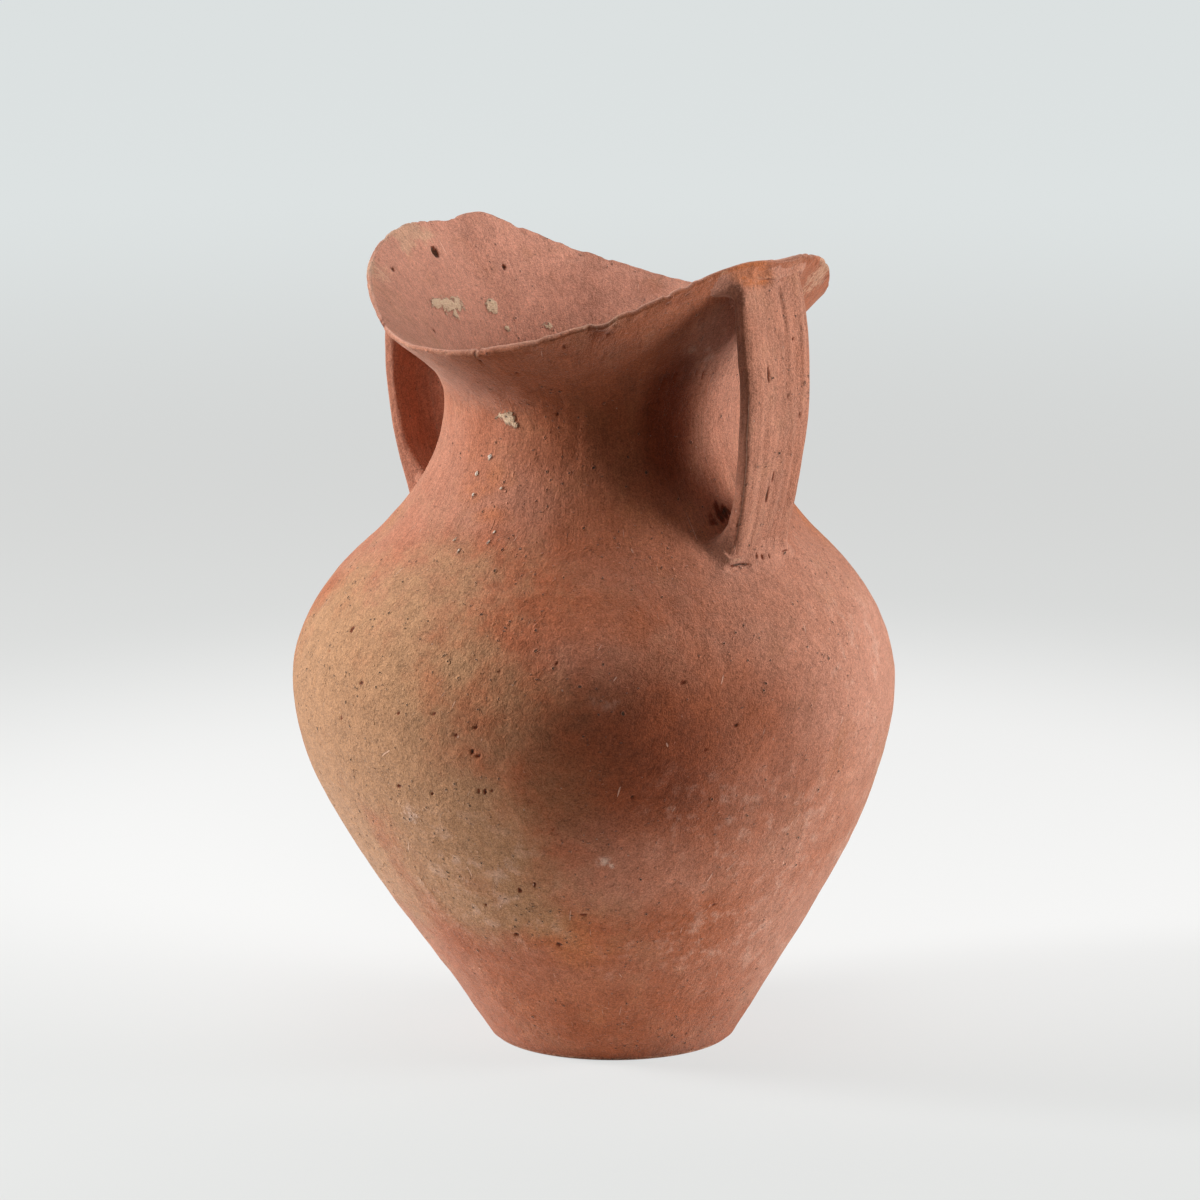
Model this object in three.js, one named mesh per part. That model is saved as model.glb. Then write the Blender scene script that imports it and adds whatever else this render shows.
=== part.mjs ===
// Hand-built earthenware jar with a saddle-shaped mouth and two strap handles.
// A potter makes it from a flat base disc, coils of clay stacked into a wall, a flaring mouth and a rim,
// two straps, and soft clay luted around each end of each strap. Every one of those is a mesh here.
// Millimetres, +Z up. The origin is the middle of the foot, and +X points at the right handle.
import * as THREE from "three";

// Wall: outer radii from the centre line, and the heights where they lie
const footRadius = 48.4;
const footFlare = 0.59; // radius gained per millimetre of height at the foot
const bellyRadius = 120.5;
const bellyHeight = 146;
const shoulderRadius = 91.7;
const shoulderHeight = 200;
const shoulderFall = 1.05; // radius lost per millimetre of height at the shoulder
const neckRadius = 61.4;
const neckHeight = 258;
const lean = 10.2; // the belly's centre line stands this far from the foot's, away from the right handle
const leanBack = 2.6; // and the mouth's stands this far back towards it

// Mouth: the rim's outline in plan, and its height above the foot
const mouthRadius = 93.3;
const mouthOval = -1.2; // longer along the handles if positive
const mouthSquare = 2.3; // reaches further at the handles and half-way between them
const mouthRise = 29.6; // from the neck up to the rim, half-way between the handles
const saddleDepth = 34.4; // the rim rises by this much to each handle
const flareCurl = 0.8; // how early the mouth turns outwards above the neck

// Clay
const wallThickness = 6.5;
const rimThickness = 3.4;
const baseThickness = 10;
const footRounding = 1.8;
const coilCount = 9; // from the base disc to the neck, each drawn up to about the same width
const coilBevel = 5; // a coil's inner edge reaches this far down behind the coil below
const rimWidth = 22; // of the rim coil, measured upwards at the handles
const slip = 0.3; // joints are closed by this much liquid clay

// Straps: sizes common to both, then what differs from one to the other
const strapWidth = 32;
const strapThickness = 7;
const strapTopDrop = 9; // the strap's middle meets the mouth this far below the rim
const bowUpper = 0.24; // where the strap is drawn outwards, counted from its top end
const bowLower = 0.6;
const strapEdge = 3; // radius of the strap's long edges
const lutingOnWall = 8; // soft clay spreads this far over the wall
const lutingOnStrap = 9; // and this far along the strap
const rightBow = 8.7; // the strap's middle stands this far outside the line between its ends
const leftBow = 12.9;
const rightRootRise = 8; // the strap's lower end lies this far above the shoulder's height
const leftRootRise = 6;
const handles = [
  { name: "right_handle", direction: 0, bow: rightBow, rootRise: rightRootRise },
  { name: "left_handle", direction: Math.PI, bow: leftBow, rootRise: leftRootRise },
];

// Fineness of the meshes
const angleSteps = 48;
const outerRows = 3;
const innerRows = 2;
const strapSteps = 22;
const strapSides = 24;
const profileSteps = 400;
const filletSteps = 3;
const bisections = 40;

const terracotta = { color: 0xb5674a, roughness: 0.85, metalness: 0 };
const palerClay = { color: 0xc07a58, roughness: 0.85, metalness: 0 };

// Cubic from value a to value b over a span, leaving and arriving at the given slopes.
function hermite(t, a, b, span, slopeA, slopeB) {
  const s = 1 - t;
  return (
    a * (1 + 2 * t) * s * s +
    b * (3 - 2 * t) * t * t +
    span * (slopeA * t * s * s - slopeB * t * t * s)
  );
}

// Outer radius of the body at a height: foot to belly, belly to shoulder, shoulder to neck.
function bodyRadius(height) {
  if (height < bellyHeight) {
    return hermite(height / bellyHeight, footRadius, bellyRadius, bellyHeight, footFlare, 0);
  }
  if (height < shoulderHeight) {
    const span = shoulderHeight - bellyHeight;
    const t = (height - bellyHeight) / span;
    return hermite(t, bellyRadius, shoulderRadius, span, 0, -shoulderFall);
  }
  const span = neckHeight - shoulderHeight;
  const t = Math.min(1, (height - shoulderHeight) / span);
  return hermite(t, shoulderRadius, neckRadius, span, -shoulderFall, 0);
}

function bodySlope(height) {
  const step = neckHeight / profileSteps;
  return (bodyRadius(height + step) - bodyRadius(height - step)) / (2 * step);
}

// A sloping wall of even thickness is thicker when it is measured level.
function bodyInnerRadius(height) {
  return bodyRadius(height) - wallThickness * Math.hypot(1, bodySlope(height));
}

function centreX(height) {
  const out = THREE.MathUtils.smoothstep(height, 0, bellyHeight);
  const back = THREE.MathUtils.smoothstep(height, bellyHeight, neckHeight + mouthRise);
  return leanBack * back - lean * out;
}

function rimReach(angle) {
  return mouthRadius + mouthOval * Math.cos(2 * angle) + mouthSquare * Math.cos(4 * angle);
}

function rimHeight(angle) {
  return neckHeight + mouthRise + saddleDepth * Math.cos(angle) ** 2;
}

// Outer radius and height of the mouth, from the neck (share 0) to the rim (share 1), and on past it.
function mouthOuter(share, angle) {
  const reach = rimReach(angle) - neckRadius;
  const rise = rimHeight(angle) - neckHeight;
  return {
    radius: neckRadius + reach * share * share * (1 + flareCurl * (1 - share)),
    height: neckHeight + rise * share,
    slope: (reach * share * (2 + flareCurl * (2 - 3 * share))) / rise,
  };
}

// The mouth thins towards its rim, and its inner side is set off square to the outer one.
function mouthInner(share, angle) {
  const outer = mouthOuter(share, angle);
  const thickness = THREE.MathUtils.lerp(wallThickness, rimThickness, share) / Math.hypot(1, outer.slope);
  return { radius: outer.radius - thickness, height: outer.height + thickness * outer.slope };
}

// Outer radius of the jar at any height and angle.
function outerRadius(height, angle) {
  if (height <= neckHeight) return bodyRadius(height);
  return mouthOuter((height - neckHeight) / (rimHeight(angle) - neckHeight), angle).radius;
}

function place(radius, angle, height) {
  const x = centreX(height) + radius * Math.cos(angle);
  return new THREE.Vector3(x, radius * Math.sin(angle), height);
}

// Joins rows of points, each closed on itself, into a surface that faces out where the rows run upwards
// and their points run counter-clockwise. It closes on its first row, or ends in caps with given middles.
function closedSurface(rows, caps) {
  const across = rows[0].length;
  const points = rows.flat();
  const triangles = [];
  const rowCount = caps ? rows.length - 1 : rows.length;
  for (let i = 0; i < rowCount; i++) {
    const low = i * across;
    const high = ((i + 1) % rows.length) * across;
    for (let j = 0; j < across; j++) {
      const k = (j + 1) % across;
      triangles.push(low + j, low + k, high + k, low + j, high + k, high + j);
    }
  }
  if (caps) {
    const last = (rows.length - 1) * across;
    const first = points.push(caps.first) - 1;
    const end = points.push(caps.last) - 1;
    for (let j = 0; j < across; j++) {
      const k = (j + 1) % across;
      triangles.push(k, j, first, last + j, last + k, end);
    }
  }
  return new THREE.BufferGeometry().setFromPoints(points).setIndex(triangles);
}

function named(name, geometry, finish) {
  const mesh = new THREE.Mesh(geometry, new THREE.MeshStandardMaterial(finish));
  mesh.name = name;
  return mesh;
}

// A ring of points for each angle round the jar.
function ringOf(pointAt) {
  return Array.from({ length: angleSteps }, (_, j) => pointAt((2 * Math.PI * j) / angleSteps));
}

// The rows of a wall ring: up its outer side and down its inner side.
function wallRing(outerAt, innerAt) {
  const shares = (rows) => Array.from({ length: rows + 1 }, (_, i) => i / rows);
  const outside = shares(outerRows).map((t) => ringOf((angle) => outerAt(t, angle)));
  const inside = shares(innerRows).map((t) => ringOf((angle) => innerAt(1 - t, angle)));
  return closedSurface([...outside, ...inside]);
}

// Heights at which the wall, measured along its outer side, is divided into coils of about equal width.
function coilJoints() {
  const step = (neckHeight - baseThickness) / profileSteps;
  const heights = Array.from({ length: profileSteps + 1 }, (_, i) => baseThickness + i * step);
  const lengths = [0];
  for (let i = 1; i <= profileSteps; i++) {
    const rise = bodyRadius(heights[i]) - bodyRadius(heights[i - 1]);
    lengths.push(lengths[i - 1] + Math.hypot(step, rise));
  }
  const total = lengths[profileSteps];
  return Array.from({ length: coilCount + 1 }, (_, j) => {
    const wanted = (total * j) / coilCount;
    return heights[lengths.findIndex((length) => length >= wanted - step / 2)];
  });
}

// The base: a disc with a rounded lower edge, whose side follows the wall.
function baseDisc() {
  const rows = [
    ringOf((angle) => place(bodyRadius(0) - footRounding, angle, 0)),
    ringOf((angle) => place(bodyRadius(footRounding), angle, footRounding)),
    ringOf((angle) => place(bodyRadius(baseThickness), angle, baseThickness)),
  ];
  return closedSurface(rows, { first: place(0, 0, 0), last: place(0, 0, baseThickness) });
}

// One coil of the wall between two joint heights. The first coil stands flat on the base disc.
function wallCoil(low, high, isFirst) {
  const bottom = low + slip;
  const innerBottom = isFirst ? bottom : bottom - coilBevel;
  const innerTop = high - coilBevel;
  const outerAt = (t, angle) => {
    const height = THREE.MathUtils.lerp(bottom, high, t);
    return place(bodyRadius(height), angle, height);
  };
  const innerAt = (t, angle) => {
    const height = THREE.MathUtils.lerp(innerBottom, innerTop, t);
    return place(bodyInnerRadius(height), angle, height);
  };
  return wallRing(outerAt, innerAt);
}

// A ring of the mouth between two shares of the way from neck to rim, starting a slip's height above the first.
function mouthRing(from, to) {
  const shareAt = (t, angle) => {
    const lift = slip / (rimHeight(angle) - neckHeight);
    return THREE.MathUtils.lerp(from + lift, to, t);
  };
  const outerAt = (t, angle) => {
    const { radius, height } = mouthOuter(shareAt(t, angle), angle);
    return place(radius, angle, height);
  };
  const innerAt = (t, angle) => {
    const { radius, height } = mouthInner(shareAt(t, angle), angle);
    return place(radius, angle, height);
  };
  return wallRing(outerAt, innerAt);
}

// The neck's own coil ends level at the neck, where the mouth stands on it.
function neckCoil(low) {
  const outerAt = (t, angle) => {
    const height = THREE.MathUtils.lerp(low + slip, neckHeight, t);
    return place(bodyRadius(height), angle, height);
  };
  const innerAt = (t, angle) => {
    const height = THREE.MathUtils.lerp(low + slip - coilBevel, neckHeight, t);
    return place(bodyInnerRadius(height), angle, height);
  };
  return wallRing(outerAt, innerAt);
}

// The strap's middle line in the plane of the handle: distance from the centre line, and height.
function strapLine(handle) {
  const topHeight = rimHeight(handle.direction) - strapTopDrop;
  const rootHeight = shoulderHeight + handle.rootRise;
  const topRadius = outerRadius(topHeight, handle.direction);
  const rootRadius = bodyRadius(rootHeight);
  const drawn = (topRadius + rootRadius) / 2 + handle.bow / 0.75;
  const heightAt = (share) => THREE.MathUtils.lerp(topHeight, rootHeight, share);
  return new THREE.CubicBezierCurve(
    new THREE.Vector2(topRadius, topHeight),
    new THREE.Vector2(drawn, heightAt(bowUpper)),
    new THREE.Vector2(drawn, heightAt(bowLower)),
    new THREE.Vector2(rootRadius, rootHeight),
  );
}

// Outline of the strap's section, or of a layer of the given thickness over it, in evenly spaced points:
// x is measured out of the strap's face, and y across its width.
function strapSection(layer) {
  const edge = Math.min(strapEdge, strapThickness / 2);
  const x = strapThickness / 2 - edge;
  const y = strapWidth / 2 - edge;
  const quarter = Math.PI / 2;
  const outline = new THREE.Path();
  outline.absarc(x, y, edge + layer, 0, quarter);
  outline.absarc(-x, y, edge + layer, quarter, 2 * quarter);
  outline.absarc(-x, -y, edge + layer, 2 * quarter, 3 * quarter);
  outline.absarc(x, -y, edge + layer, 3 * quarter, 4 * quarter);
  outline.closePath();
  return outline.getSpacedPoints(strapSides).slice(0, -1);
}

// The point of the strap at a share of its length from the top and at a place in its section.
// Past its ends the strap runs straight on, so that every side can be followed into the wall.
function strapPoint(handle, line, along, place) {
  const inside = THREE.MathUtils.clamp(along, 0, 1);
  const tangent = line.getTangent(inside);
  const middle = line.getPoint(inside).addScaledVector(tangent, (along - inside) * line.getLength());
  const distance = middle.x - tangent.y * place.x;
  const height = middle.y + tangent.x * place.x;
  const cos = Math.cos(handle.direction);
  const sin = Math.sin(handle.direction);
  return new THREE.Vector3(
    centreX(height) + distance * cos - place.y * sin,
    distance * sin + place.y * cos,
    height,
  );
}

// The wall beside a point: its angle and radius, and how much a distance square to it grows when level.
function wallBeside(point) {
  const x = point.x - centreX(point.z);
  const angle = Math.atan2(point.y, x);
  const step = neckHeight / profileSteps;
  const rise = outerRadius(point.z + step, angle) - outerRadius(point.z - step, angle);
  const stretch = Math.hypot(1, rise / (2 * step));
  return { angle, stretch, radius: outerRadius(point.z, angle), distance: Math.hypot(x, point.y) };
}

function standOff(point) {
  const wall = wallBeside(point);
  return (wall.distance - wall.radius) / wall.stretch;
}

// Moves a point level until it stands the given distance off the wall.
function onWall(point, distance) {
  const wall = wallBeside(point);
  return place(wall.radius + distance * wall.stretch, wall.angle, point.z);
}

// Where a long side of the strap meets the wall, as a share of the strap's length, near its top or its root.
function meetsWall(handle, line, place, atTop) {
  let inWall = atTop ? -0.5 : 1.5;
  let inAir = 0.5;
  for (let i = 0; i < bisections; i++) {
    const half = (inWall + inAir) / 2;
    if (standOff(strapPoint(handle, line, half, place)) > slip) inAir = half;
    else inWall = half;
  }
  return inAir;
}

function middleOf(points) {
  return points.reduce((sum, p) => sum.add(p), new THREE.Vector3()).divideScalar(points.length);
}

// A strap whose ends are shaped to the wall and stand a slip's thickness off it.
function strap(handle, line) {
  const sides = strapSection(0).map((place) => ({
    place,
    top: meetsWall(handle, line, place, true),
    root: meetsWall(handle, line, place, false),
  }));
  const rows = Array.from({ length: strapSteps + 1 }, (_, i) =>
    sides.map(({ place, top, root }) => {
      const along = THREE.MathUtils.lerp(root, top, i / strapSteps);
      return strapPoint(handle, line, along, place);
    }),
  );
  const towardsMiddle = (row, share) => {
    const middle = middleOf(row);
    return row.map((p) => onWall(p.clone().lerp(middle, share), slip));
  };
  const last = rows.at(-1);
  const caps = { first: onWall(middleOf(rows[0]), slip), last: onWall(middleOf(last), slip) };
  return closedSurface([towardsMiddle(rows[0], 0.5), ...rows, towardsMiddle(last, 0.5)], caps);
}

// Soft clay round one end of a strap. Its section is a hollow-faced wedge between strap and wall.
function luting(handle, line, atTop) {
  const places = strapSection(slip);
  const meets = places.map((place) => meetsWall(handle, line, place, atTop));
  const corners = places.map((place, i) => onWall(strapPoint(handle, line, meets[i], place), slip));
  const middle = middleOf(corners);
  const away = (atTop ? lutingOnStrap : -lutingOnStrap) / line.getLength();
  const sections = corners.map((corner, i) => {
    const onStrap = strapPoint(handle, line, meets[i] + away, places[i]);
    const spread = corner.clone().sub(middle).setLength(lutingOnWall).add(corner);
    spread.z = Math.min(spread.z, rimHeight(wallBeside(spread).angle));
    const edge = onWall(spread, slip);
    const underside = [2 / 3, 1 / 3].map((t) => onWall(corner.clone().lerp(edge, t), slip));
    const face = new THREE.QuadraticBezierCurve3(onStrap, corner, edge);
    return [...face.getPoints(filletSteps), ...underside, corner];
  });
  const rows = sections[0].map((_, i) => sections.map((section) => section[i]));
  return closedSurface(atTop ? rows : rows.reverse());
}

const jar = new THREE.Group();
jar.add(named("base_disc", baseDisc(), terracotta));

const joints = coilJoints();
joints.slice(0, -2).forEach((low, i) => {
  jar.add(named(`wall_coil_${i + 1}`, wallCoil(low, joints[i + 1], i === 0), terracotta));
});
jar.add(named("neck_coil", neckCoil(joints.at(-2)), terracotta));

const rimShare = 1 - rimWidth / (rimHeight(0) - neckHeight);
jar.add(named("mouth_coil", mouthRing(0, rimShare), terracotta));
jar.add(named("rim_coil", mouthRing(rimShare, 1), terracotta));

for (const handle of handles) {
  const line = strapLine(handle);
  jar.add(named(handle.name, strap(handle, line), terracotta));
  jar.add(named(`${handle.name}_top_luting`, luting(handle, line, true), palerClay));
  jar.add(named(`${handle.name}_root_luting`, luting(handle, line, false), palerClay));
}

export default jar;
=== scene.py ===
"""Hand-built earthenware jar: fine clay surfaces for its base, coils, mouth, straps and luting."""

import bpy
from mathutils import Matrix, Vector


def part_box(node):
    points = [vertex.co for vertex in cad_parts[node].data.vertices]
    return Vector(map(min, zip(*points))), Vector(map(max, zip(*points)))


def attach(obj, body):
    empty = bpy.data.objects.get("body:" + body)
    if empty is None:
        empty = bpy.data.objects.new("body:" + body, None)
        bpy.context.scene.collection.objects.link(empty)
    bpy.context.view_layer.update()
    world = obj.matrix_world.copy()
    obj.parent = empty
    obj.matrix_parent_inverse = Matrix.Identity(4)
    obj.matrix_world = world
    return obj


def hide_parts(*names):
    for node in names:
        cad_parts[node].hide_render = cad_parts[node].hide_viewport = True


bl_info = {
    "name": "Two-Handled Pottery Jar",
    "version": (1, 0, 0),
    "blender": (4, 5, 0),
    "location": "View3D > Sidebar > Pottery Jar",
    "description": "Builds a hand-built earthenware jar with a saddle-shaped mouth and two strap handles",
    "category": "Add Mesh",
}

import bpy
import numpy as np
from bpy.props import FloatProperty, FloatVectorProperty, IntProperty, PointerProperty
from mathutils import Vector

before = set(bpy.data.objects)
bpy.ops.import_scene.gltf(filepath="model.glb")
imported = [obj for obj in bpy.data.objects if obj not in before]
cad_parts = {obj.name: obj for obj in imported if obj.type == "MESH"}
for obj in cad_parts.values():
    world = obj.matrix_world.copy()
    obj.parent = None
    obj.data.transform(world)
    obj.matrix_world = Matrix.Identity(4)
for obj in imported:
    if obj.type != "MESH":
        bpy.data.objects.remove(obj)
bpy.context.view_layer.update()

WALL_COILS = [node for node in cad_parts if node.startswith("wall_coil_")]
WALL_COILS.sort(key=lambda node: int(node.split("_")[-1]))
MM = 0.001

# Places on the jar: angle round it in degrees (0 at the right handle), then height, half width and half
# height in mm, and strength.
BUFF_CLOUDS = (
    (-112, 150, 70, 56, 1.1), (-90, 142, 66, 56, 1.1), (-82, 108, 56, 46, 1.05), (-74, 82, 42, 26, 0.9),
    (-55, 128, 26, 20, 0.6), (-116, 106, 50, 50, 1.1), (-142, 142, 56, 50, 0.9), (-88, 186, 46, 26, 0.9),
    (-78, 172, 30, 20, 0.9), (-76, 150, 44, 40, 0.7), (-100, 124, 50, 40, 1.1), (74, 128, 70, 54, 0.95),
    (100, 166, 46, 38, 0.8), (150, 66, 48, 26, 0.7),
)
# Smoke, and painted shade: the dark band on the neck at -22 to -34 degrees is the right strap's cast
# shadow, painted; the dark middle of the belly at -39 and -13 degrees is partly smoke and partly painted
# shade between the two side lamps.
SMOKE_AND_SHADE_CLOUDS = (
    (-39, 133, 62, 46, 0.78), (-13, 142, 52, 52, 0.54), (-70, 140, 34, 22, 0.4), (-97, 152, 18, 10, 0.2),
    (-36, 200, 60, 20, 0.35), (-34, 266, 34, 34, 0.5), (-42, 286, 40, 20, 0.4), (112, 148, 44, 36, 0.7),
    (128, 120, 30, 26, 0.5), (178, 105, 26, 34, 0.45), (58, 96, 24, 16, 0.35), (-62, 246, 26, 24, 0.22),
    (-46.5, 298, 7, 4.5, 0.7), (-28, 310, 8, 3, 0.5), (-22, 266, 14, 35, 1.25), (-12, 221, 9, 8, 0.25),
)
SOOT_TUFTS = (
    (-3.0, 222.4, 2.2, 2.2, 1.8), (-6.5, 221.0, 2.8, 1.6, 1.6), (-9.5, 219.2, 2.2, 1.4, 1.5),
    (-6.0, 224.5, 1.4, 1.4, 1.3),
)
ORANGE_BLOOMS = (
    (-88, 232, 14, 9, 0.5), (-80, 222, 9, 5, 0.7), (-62, 204, 32, 10, 0.25), (-50, 194, 24, 9, 0.3),
    (-32, 216, 30, 16, 0.4), (-48, 246, 34, 36, 0.3), (-97, 245, 12, 10, 0.4), (-8, 320, 9, 5, 1.6),
    (-4, 317.5, 6, 4, 1.0), (-55, 120, 26, 10, 0.35), (60, 214, 34, 18, 0.7), (140, 240, 24, 20, 0.7),
    (-150, 205, 30, 14, 0.6), (10, 125, 24, 18, 0.3), (90, 60, 40, 18, 0.5), (-60, 30, 40, 14, 0.4),
    (-58, 60, 20, 16, 0.8),
)
# Chalky haze; the places at -8 degrees under the right loop and at 34 degrees low on the right are painted
# light and a painted sheen.
WHITE_HAZE_AND_SHEEN = (
    (4, 88, 46, 34, 0.8), (-8, 58, 40, 22, 0.8), (-46, 94, 3.4, 2.8, 2.3), (-44.6, 92.4, 2.2, 2.4, 2.0),
    (-87.5, 107.5, 10, 6, 1.7), (16, 150, 30, 44, 0.6), (-44, 162, 6, 4, 0.5), (-26, 110, 30, 18, 0.5),
    (90, 100, 26, 18, 0.5), (-8, 286, 16, 16, 0.9), (150, 170, 24, 22, 0.5), (-130, 70, 30, 16, 0.5),
    (-6, 204, 12, 3, 0.9), (34, 84, 40, 50, 0.9), (-74, 94, 26, 18, 0.5), (-76, 78, 36, 24, 0.9),
)
# Pinker clay, partly well aired in the kiln and partly painted light: pink where the side lamps fall, along
# the lower right edge and under the right loop.
AIRED_AND_LIT_PLACES = (
    (28, 150, 100, 85, 0.8), (0, 205, 50, 34, 0.6), (30, 62, 62, 50, 0.68), (-40, 92, 48, 22, 0.5),
    (-124, 226, 62, 44, 0.62), (-96, 194, 40, 24, 0.5), (-112, 285, 42, 32, 0.55), (10, 264, 28, 44, 0.72),
    (-6, 290, 22, 18, 0.85), (-46, 177, 34, 16, 0.3), (38, 80, 40, 60, 0.7), (-88, 226, 36, 22, 0.55),
    (-135, 50, 50, 44, 0.45), (-60, 45, 40, 24, 0.2), (150, 222, 70, 50, 0.55), (118, 60, 54, 40, 0.45),
    (-172, 150, 50, 60, 0.5),
)
WORN_PLACES = (
    (-165, 320, 13, 7, 2.0), (-140, 308, 10, 5, 0.7), (-46, 302, 9, 3, 0.5), (150, 318, 12, 5, 0.5),
    (28, 311, 12, 9, 1.0),
)
OUTER_CRUST = (
    (-83, 259, 4.4, 2.6, 1.0), (-79.5, 256.5, 2.4, 1.6, 0.9), (140, 232, 3.4, 2.2, 1.0),
    (66, 190, 2.6, 1.8, 0.9),
)
LIME_GRAINS = (
    (-88.8, 243, 0.9, 0.8, 1.0), (-92.8, 236, 0.8, 0.8, 1.0), (-80.5, 232, 0.9, 0.7, 1.0),
    (-91, 228, 0.8, 0.8, 1.0), (-77.8, 216, 0.8, 0.7, 1.0), (-78.3, 212.5, 0.8, 0.7, 1.0),
    (-86.4, 208, 0.8, 0.8, 1.0), (-89.8, 211.7, 0.8, 0.7, 1.0), (120, 228, 0.9, 0.8, 1.0),
    (150, 206, 0.8, 0.8, 1.0), (62, 222, 0.9, 0.7, 1.0), (-150, 238, 0.8, 0.8, 1.0),
)
INNER_CRUST = (
    (-158.5, 293, 4.6, 1.7, 1.0), (-163.5, 291, 5.6, 3.4, 1.0), (-168.5, 290.3, 4.2, 2.6, 1.0),
    (-165.3, 287.6, 2.2, 2.2, 1.0), (174, 288.5, 2.3, 2.8, 1.0), (171, 279, 1.4, 1.3, 1.0),
    (153.5, 278.5, 2.6, 1.6, 1.0), (60, 284, 3.4, 2.4, 1.0), (20, 300, 4.0, 3.0, 0.9),
)
# Smoke inside the mouth, partly painted shade on the far inner wall and near the right handle.
INNER_SMOKE_AND_SHADE = (
    (132, 294, 32, 14, 0.4), (60, 290, 30, 20, 0.4),
)
# Holes and dents: angle in degrees, height, half width, half height and depth in mm.
OUTER_PITS = (
    (-96.6, 158.7, 0.8, 0.8, 0.8), (-94.7, 159, 0.6, 0.6, 0.6), (-69.4, 148, 0.9, 0.7, 0.8),
    (-70.1, 138.5, 0.8, 0.9, 0.8), (-69, 136.7, 0.9, 0.7, 0.8), (-73.5, 144.6, 0.7, 0.7, 0.7),
    (-65.5, 169.7, 0.6, 0.6, 0.6), (-54.4, 173.4, 0.6, 0.6, 0.6), (-69.6, 122.4, 0.6, 0.8, 0.7),
    (-68.4, 122.2, 0.6, 0.9, 0.8), (-67.2, 122.5, 0.6, 0.7, 0.7), (-71, 59, 1.1, 0.9, 0.9),
    (-66, 80, 0.9, 0.8, 0.8), (-62, 83, 0.8, 0.8, 0.8), (-40, 122, 0.9, 0.7, 0.8), (-52, 70, 2.2, 0.6, 0.6),
    (-105, 176, 0.9, 1.6, 0.7), (-20, 148, 0.7, 0.9, 0.8), (35, 140, 1.0, 0.9, 0.9),
    (80, 150, 1.0, 1.0, 0.9), (120, 90, 1.2, 0.9, 0.9), (160, 180, 1.0, 1.2, 0.8),
    (-140, 130, 1.0, 1.0, 0.9), (-62, 262, 0.6, 0.8, 0.6), (-70, 281, 0.5, 0.8, 0.6),
    (-77, 288, 0.5, 3.0, 0.8), (-86, 150, 0.6, 0.7, 0.6), (-78, 152, 0.7, 0.6, 0.7),
    (-102, 143, 0.7, 0.8, 0.7), (-110, 166, 0.6, 0.8, 0.6), (-88, 120, 1.0, 0.6, 0.8),
    (-80, 119, 0.7, 0.7, 0.7), (-30, 166, 0.8, 0.7, 0.7), (-26, 140, 0.6, 0.7, 0.6),
    (-56, 108, 0.6, 0.7, 0.6), (-76, 72, 0.7, 0.6, 0.7), (-60, 56, 1.1, 0.9, 0.8), (-20, 72, 0.8, 0.7, 0.6),
    (-47.5, 299, 2.6, 1.2, 0.45), (-45, 297.5, 0.9, 0.9, 0.5), (-49.5, 300, 1.1, 0.8, 0.45),
    (-43.5, 301, 1.2, 0.8, 0.45), (-30, 309.5, 0.6, 0.8, 0.6), (-25, 312.5, 0.9, 0.7, 0.5),
    (-56, 293, 0.5, 1.2, 0.6), (-25, 275, 0.4, 2.2, 0.5), (-21, 277, 0.4, 2.6, 0.5),
    (-12, 278, 0.4, 2.0, 0.5), (-9, 276, 0.4, 2.4, 0.5),
)
INNER_PITS = (
    (-173, 310.3, 1.9, 1.8, 2.0), (164, 302, 0.9, 0.9, 1.2), (-148, 308, 1.2, 0.7, 0.8),
    (-144, 284.5, 0.9, 0.8, 0.9), (140, 303, 6.0, 1.3, 0.36), (30, 296, 1.4, 1.2, 1.2),
    (95, 280, 1.2, 1.0, 0.9),
)
# Chips out of the lip: angle in degrees, half width and depth in mm.
LIP_CHIPS = (
    (-46, 4.2, 1.4), (-38, 2.0, 0.7), (-30, 1.2, 1.0), (-25, 1.6, 0.8), (-76.5, 0.7, 1.4), (-62, 2.0, 0.4),
    (-97, 3.0, 0.3), (-150, 1.2, 0.6), (-155.5, 0.8, 0.5), (-165, 2.4, 0.6), (-171, 1.0, 0.7),
    (-139, 2.2, 0.7), (12, 0.8, 0.6), (15.5, 1.7, 1.1), (20.5, 1.0, 0.8), (24, 1.2, 1.2), (30, 1.0, 1.6),
    (35, 1.4, 1.4), (46, 1.5, 0.7), (139, 4.0, 0.6), (131, 2.0, 0.5), (155, 2.0, 0.6), (75, 3.0, 0.7),
    (92, 1.8, 0.5), (104, 3.4, 0.6), (60, 1.6, 0.5),
)
# Slits and nicks in the straps: x, y, z, half width, half height and depth in mm.
STRAP_NICKS = (
    (86, -3.5, 231, 0.7, 4.2, 0.8), (88, -2.0, 238, 0.6, 3.0, 0.7), (91, -9.5, 280, 0.8, 3.4, 0.8),
    (91, 6, 292, 0.9, 1.0, 0.6), (90, 9, 262, 0.5, 1.8, 0.5), (86, -12, 246, 0.5, 3.6, 0.4),
    (91, 2, 270, 0.5, 1.6, 0.5), (-110, 4, 262, 0.7, 3.0, 0.7), (-108, -6, 244, 0.7, 2.4, 0.6),
    (-110, -9, 285, 0.6, 2.6, 0.5), (80, -3.5, 206.4, 0.5, 1.6, 0.7), (80, -0.3, 205.6, 0.5, 1.8, 0.7),
    (80, 3.5, 205.4, 0.5, 1.5, 0.6), (79, -12, 204, 5.5, 0.6, 0.7), (78, 14, 206, 3.0, 0.5, 0.5),
)
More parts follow.
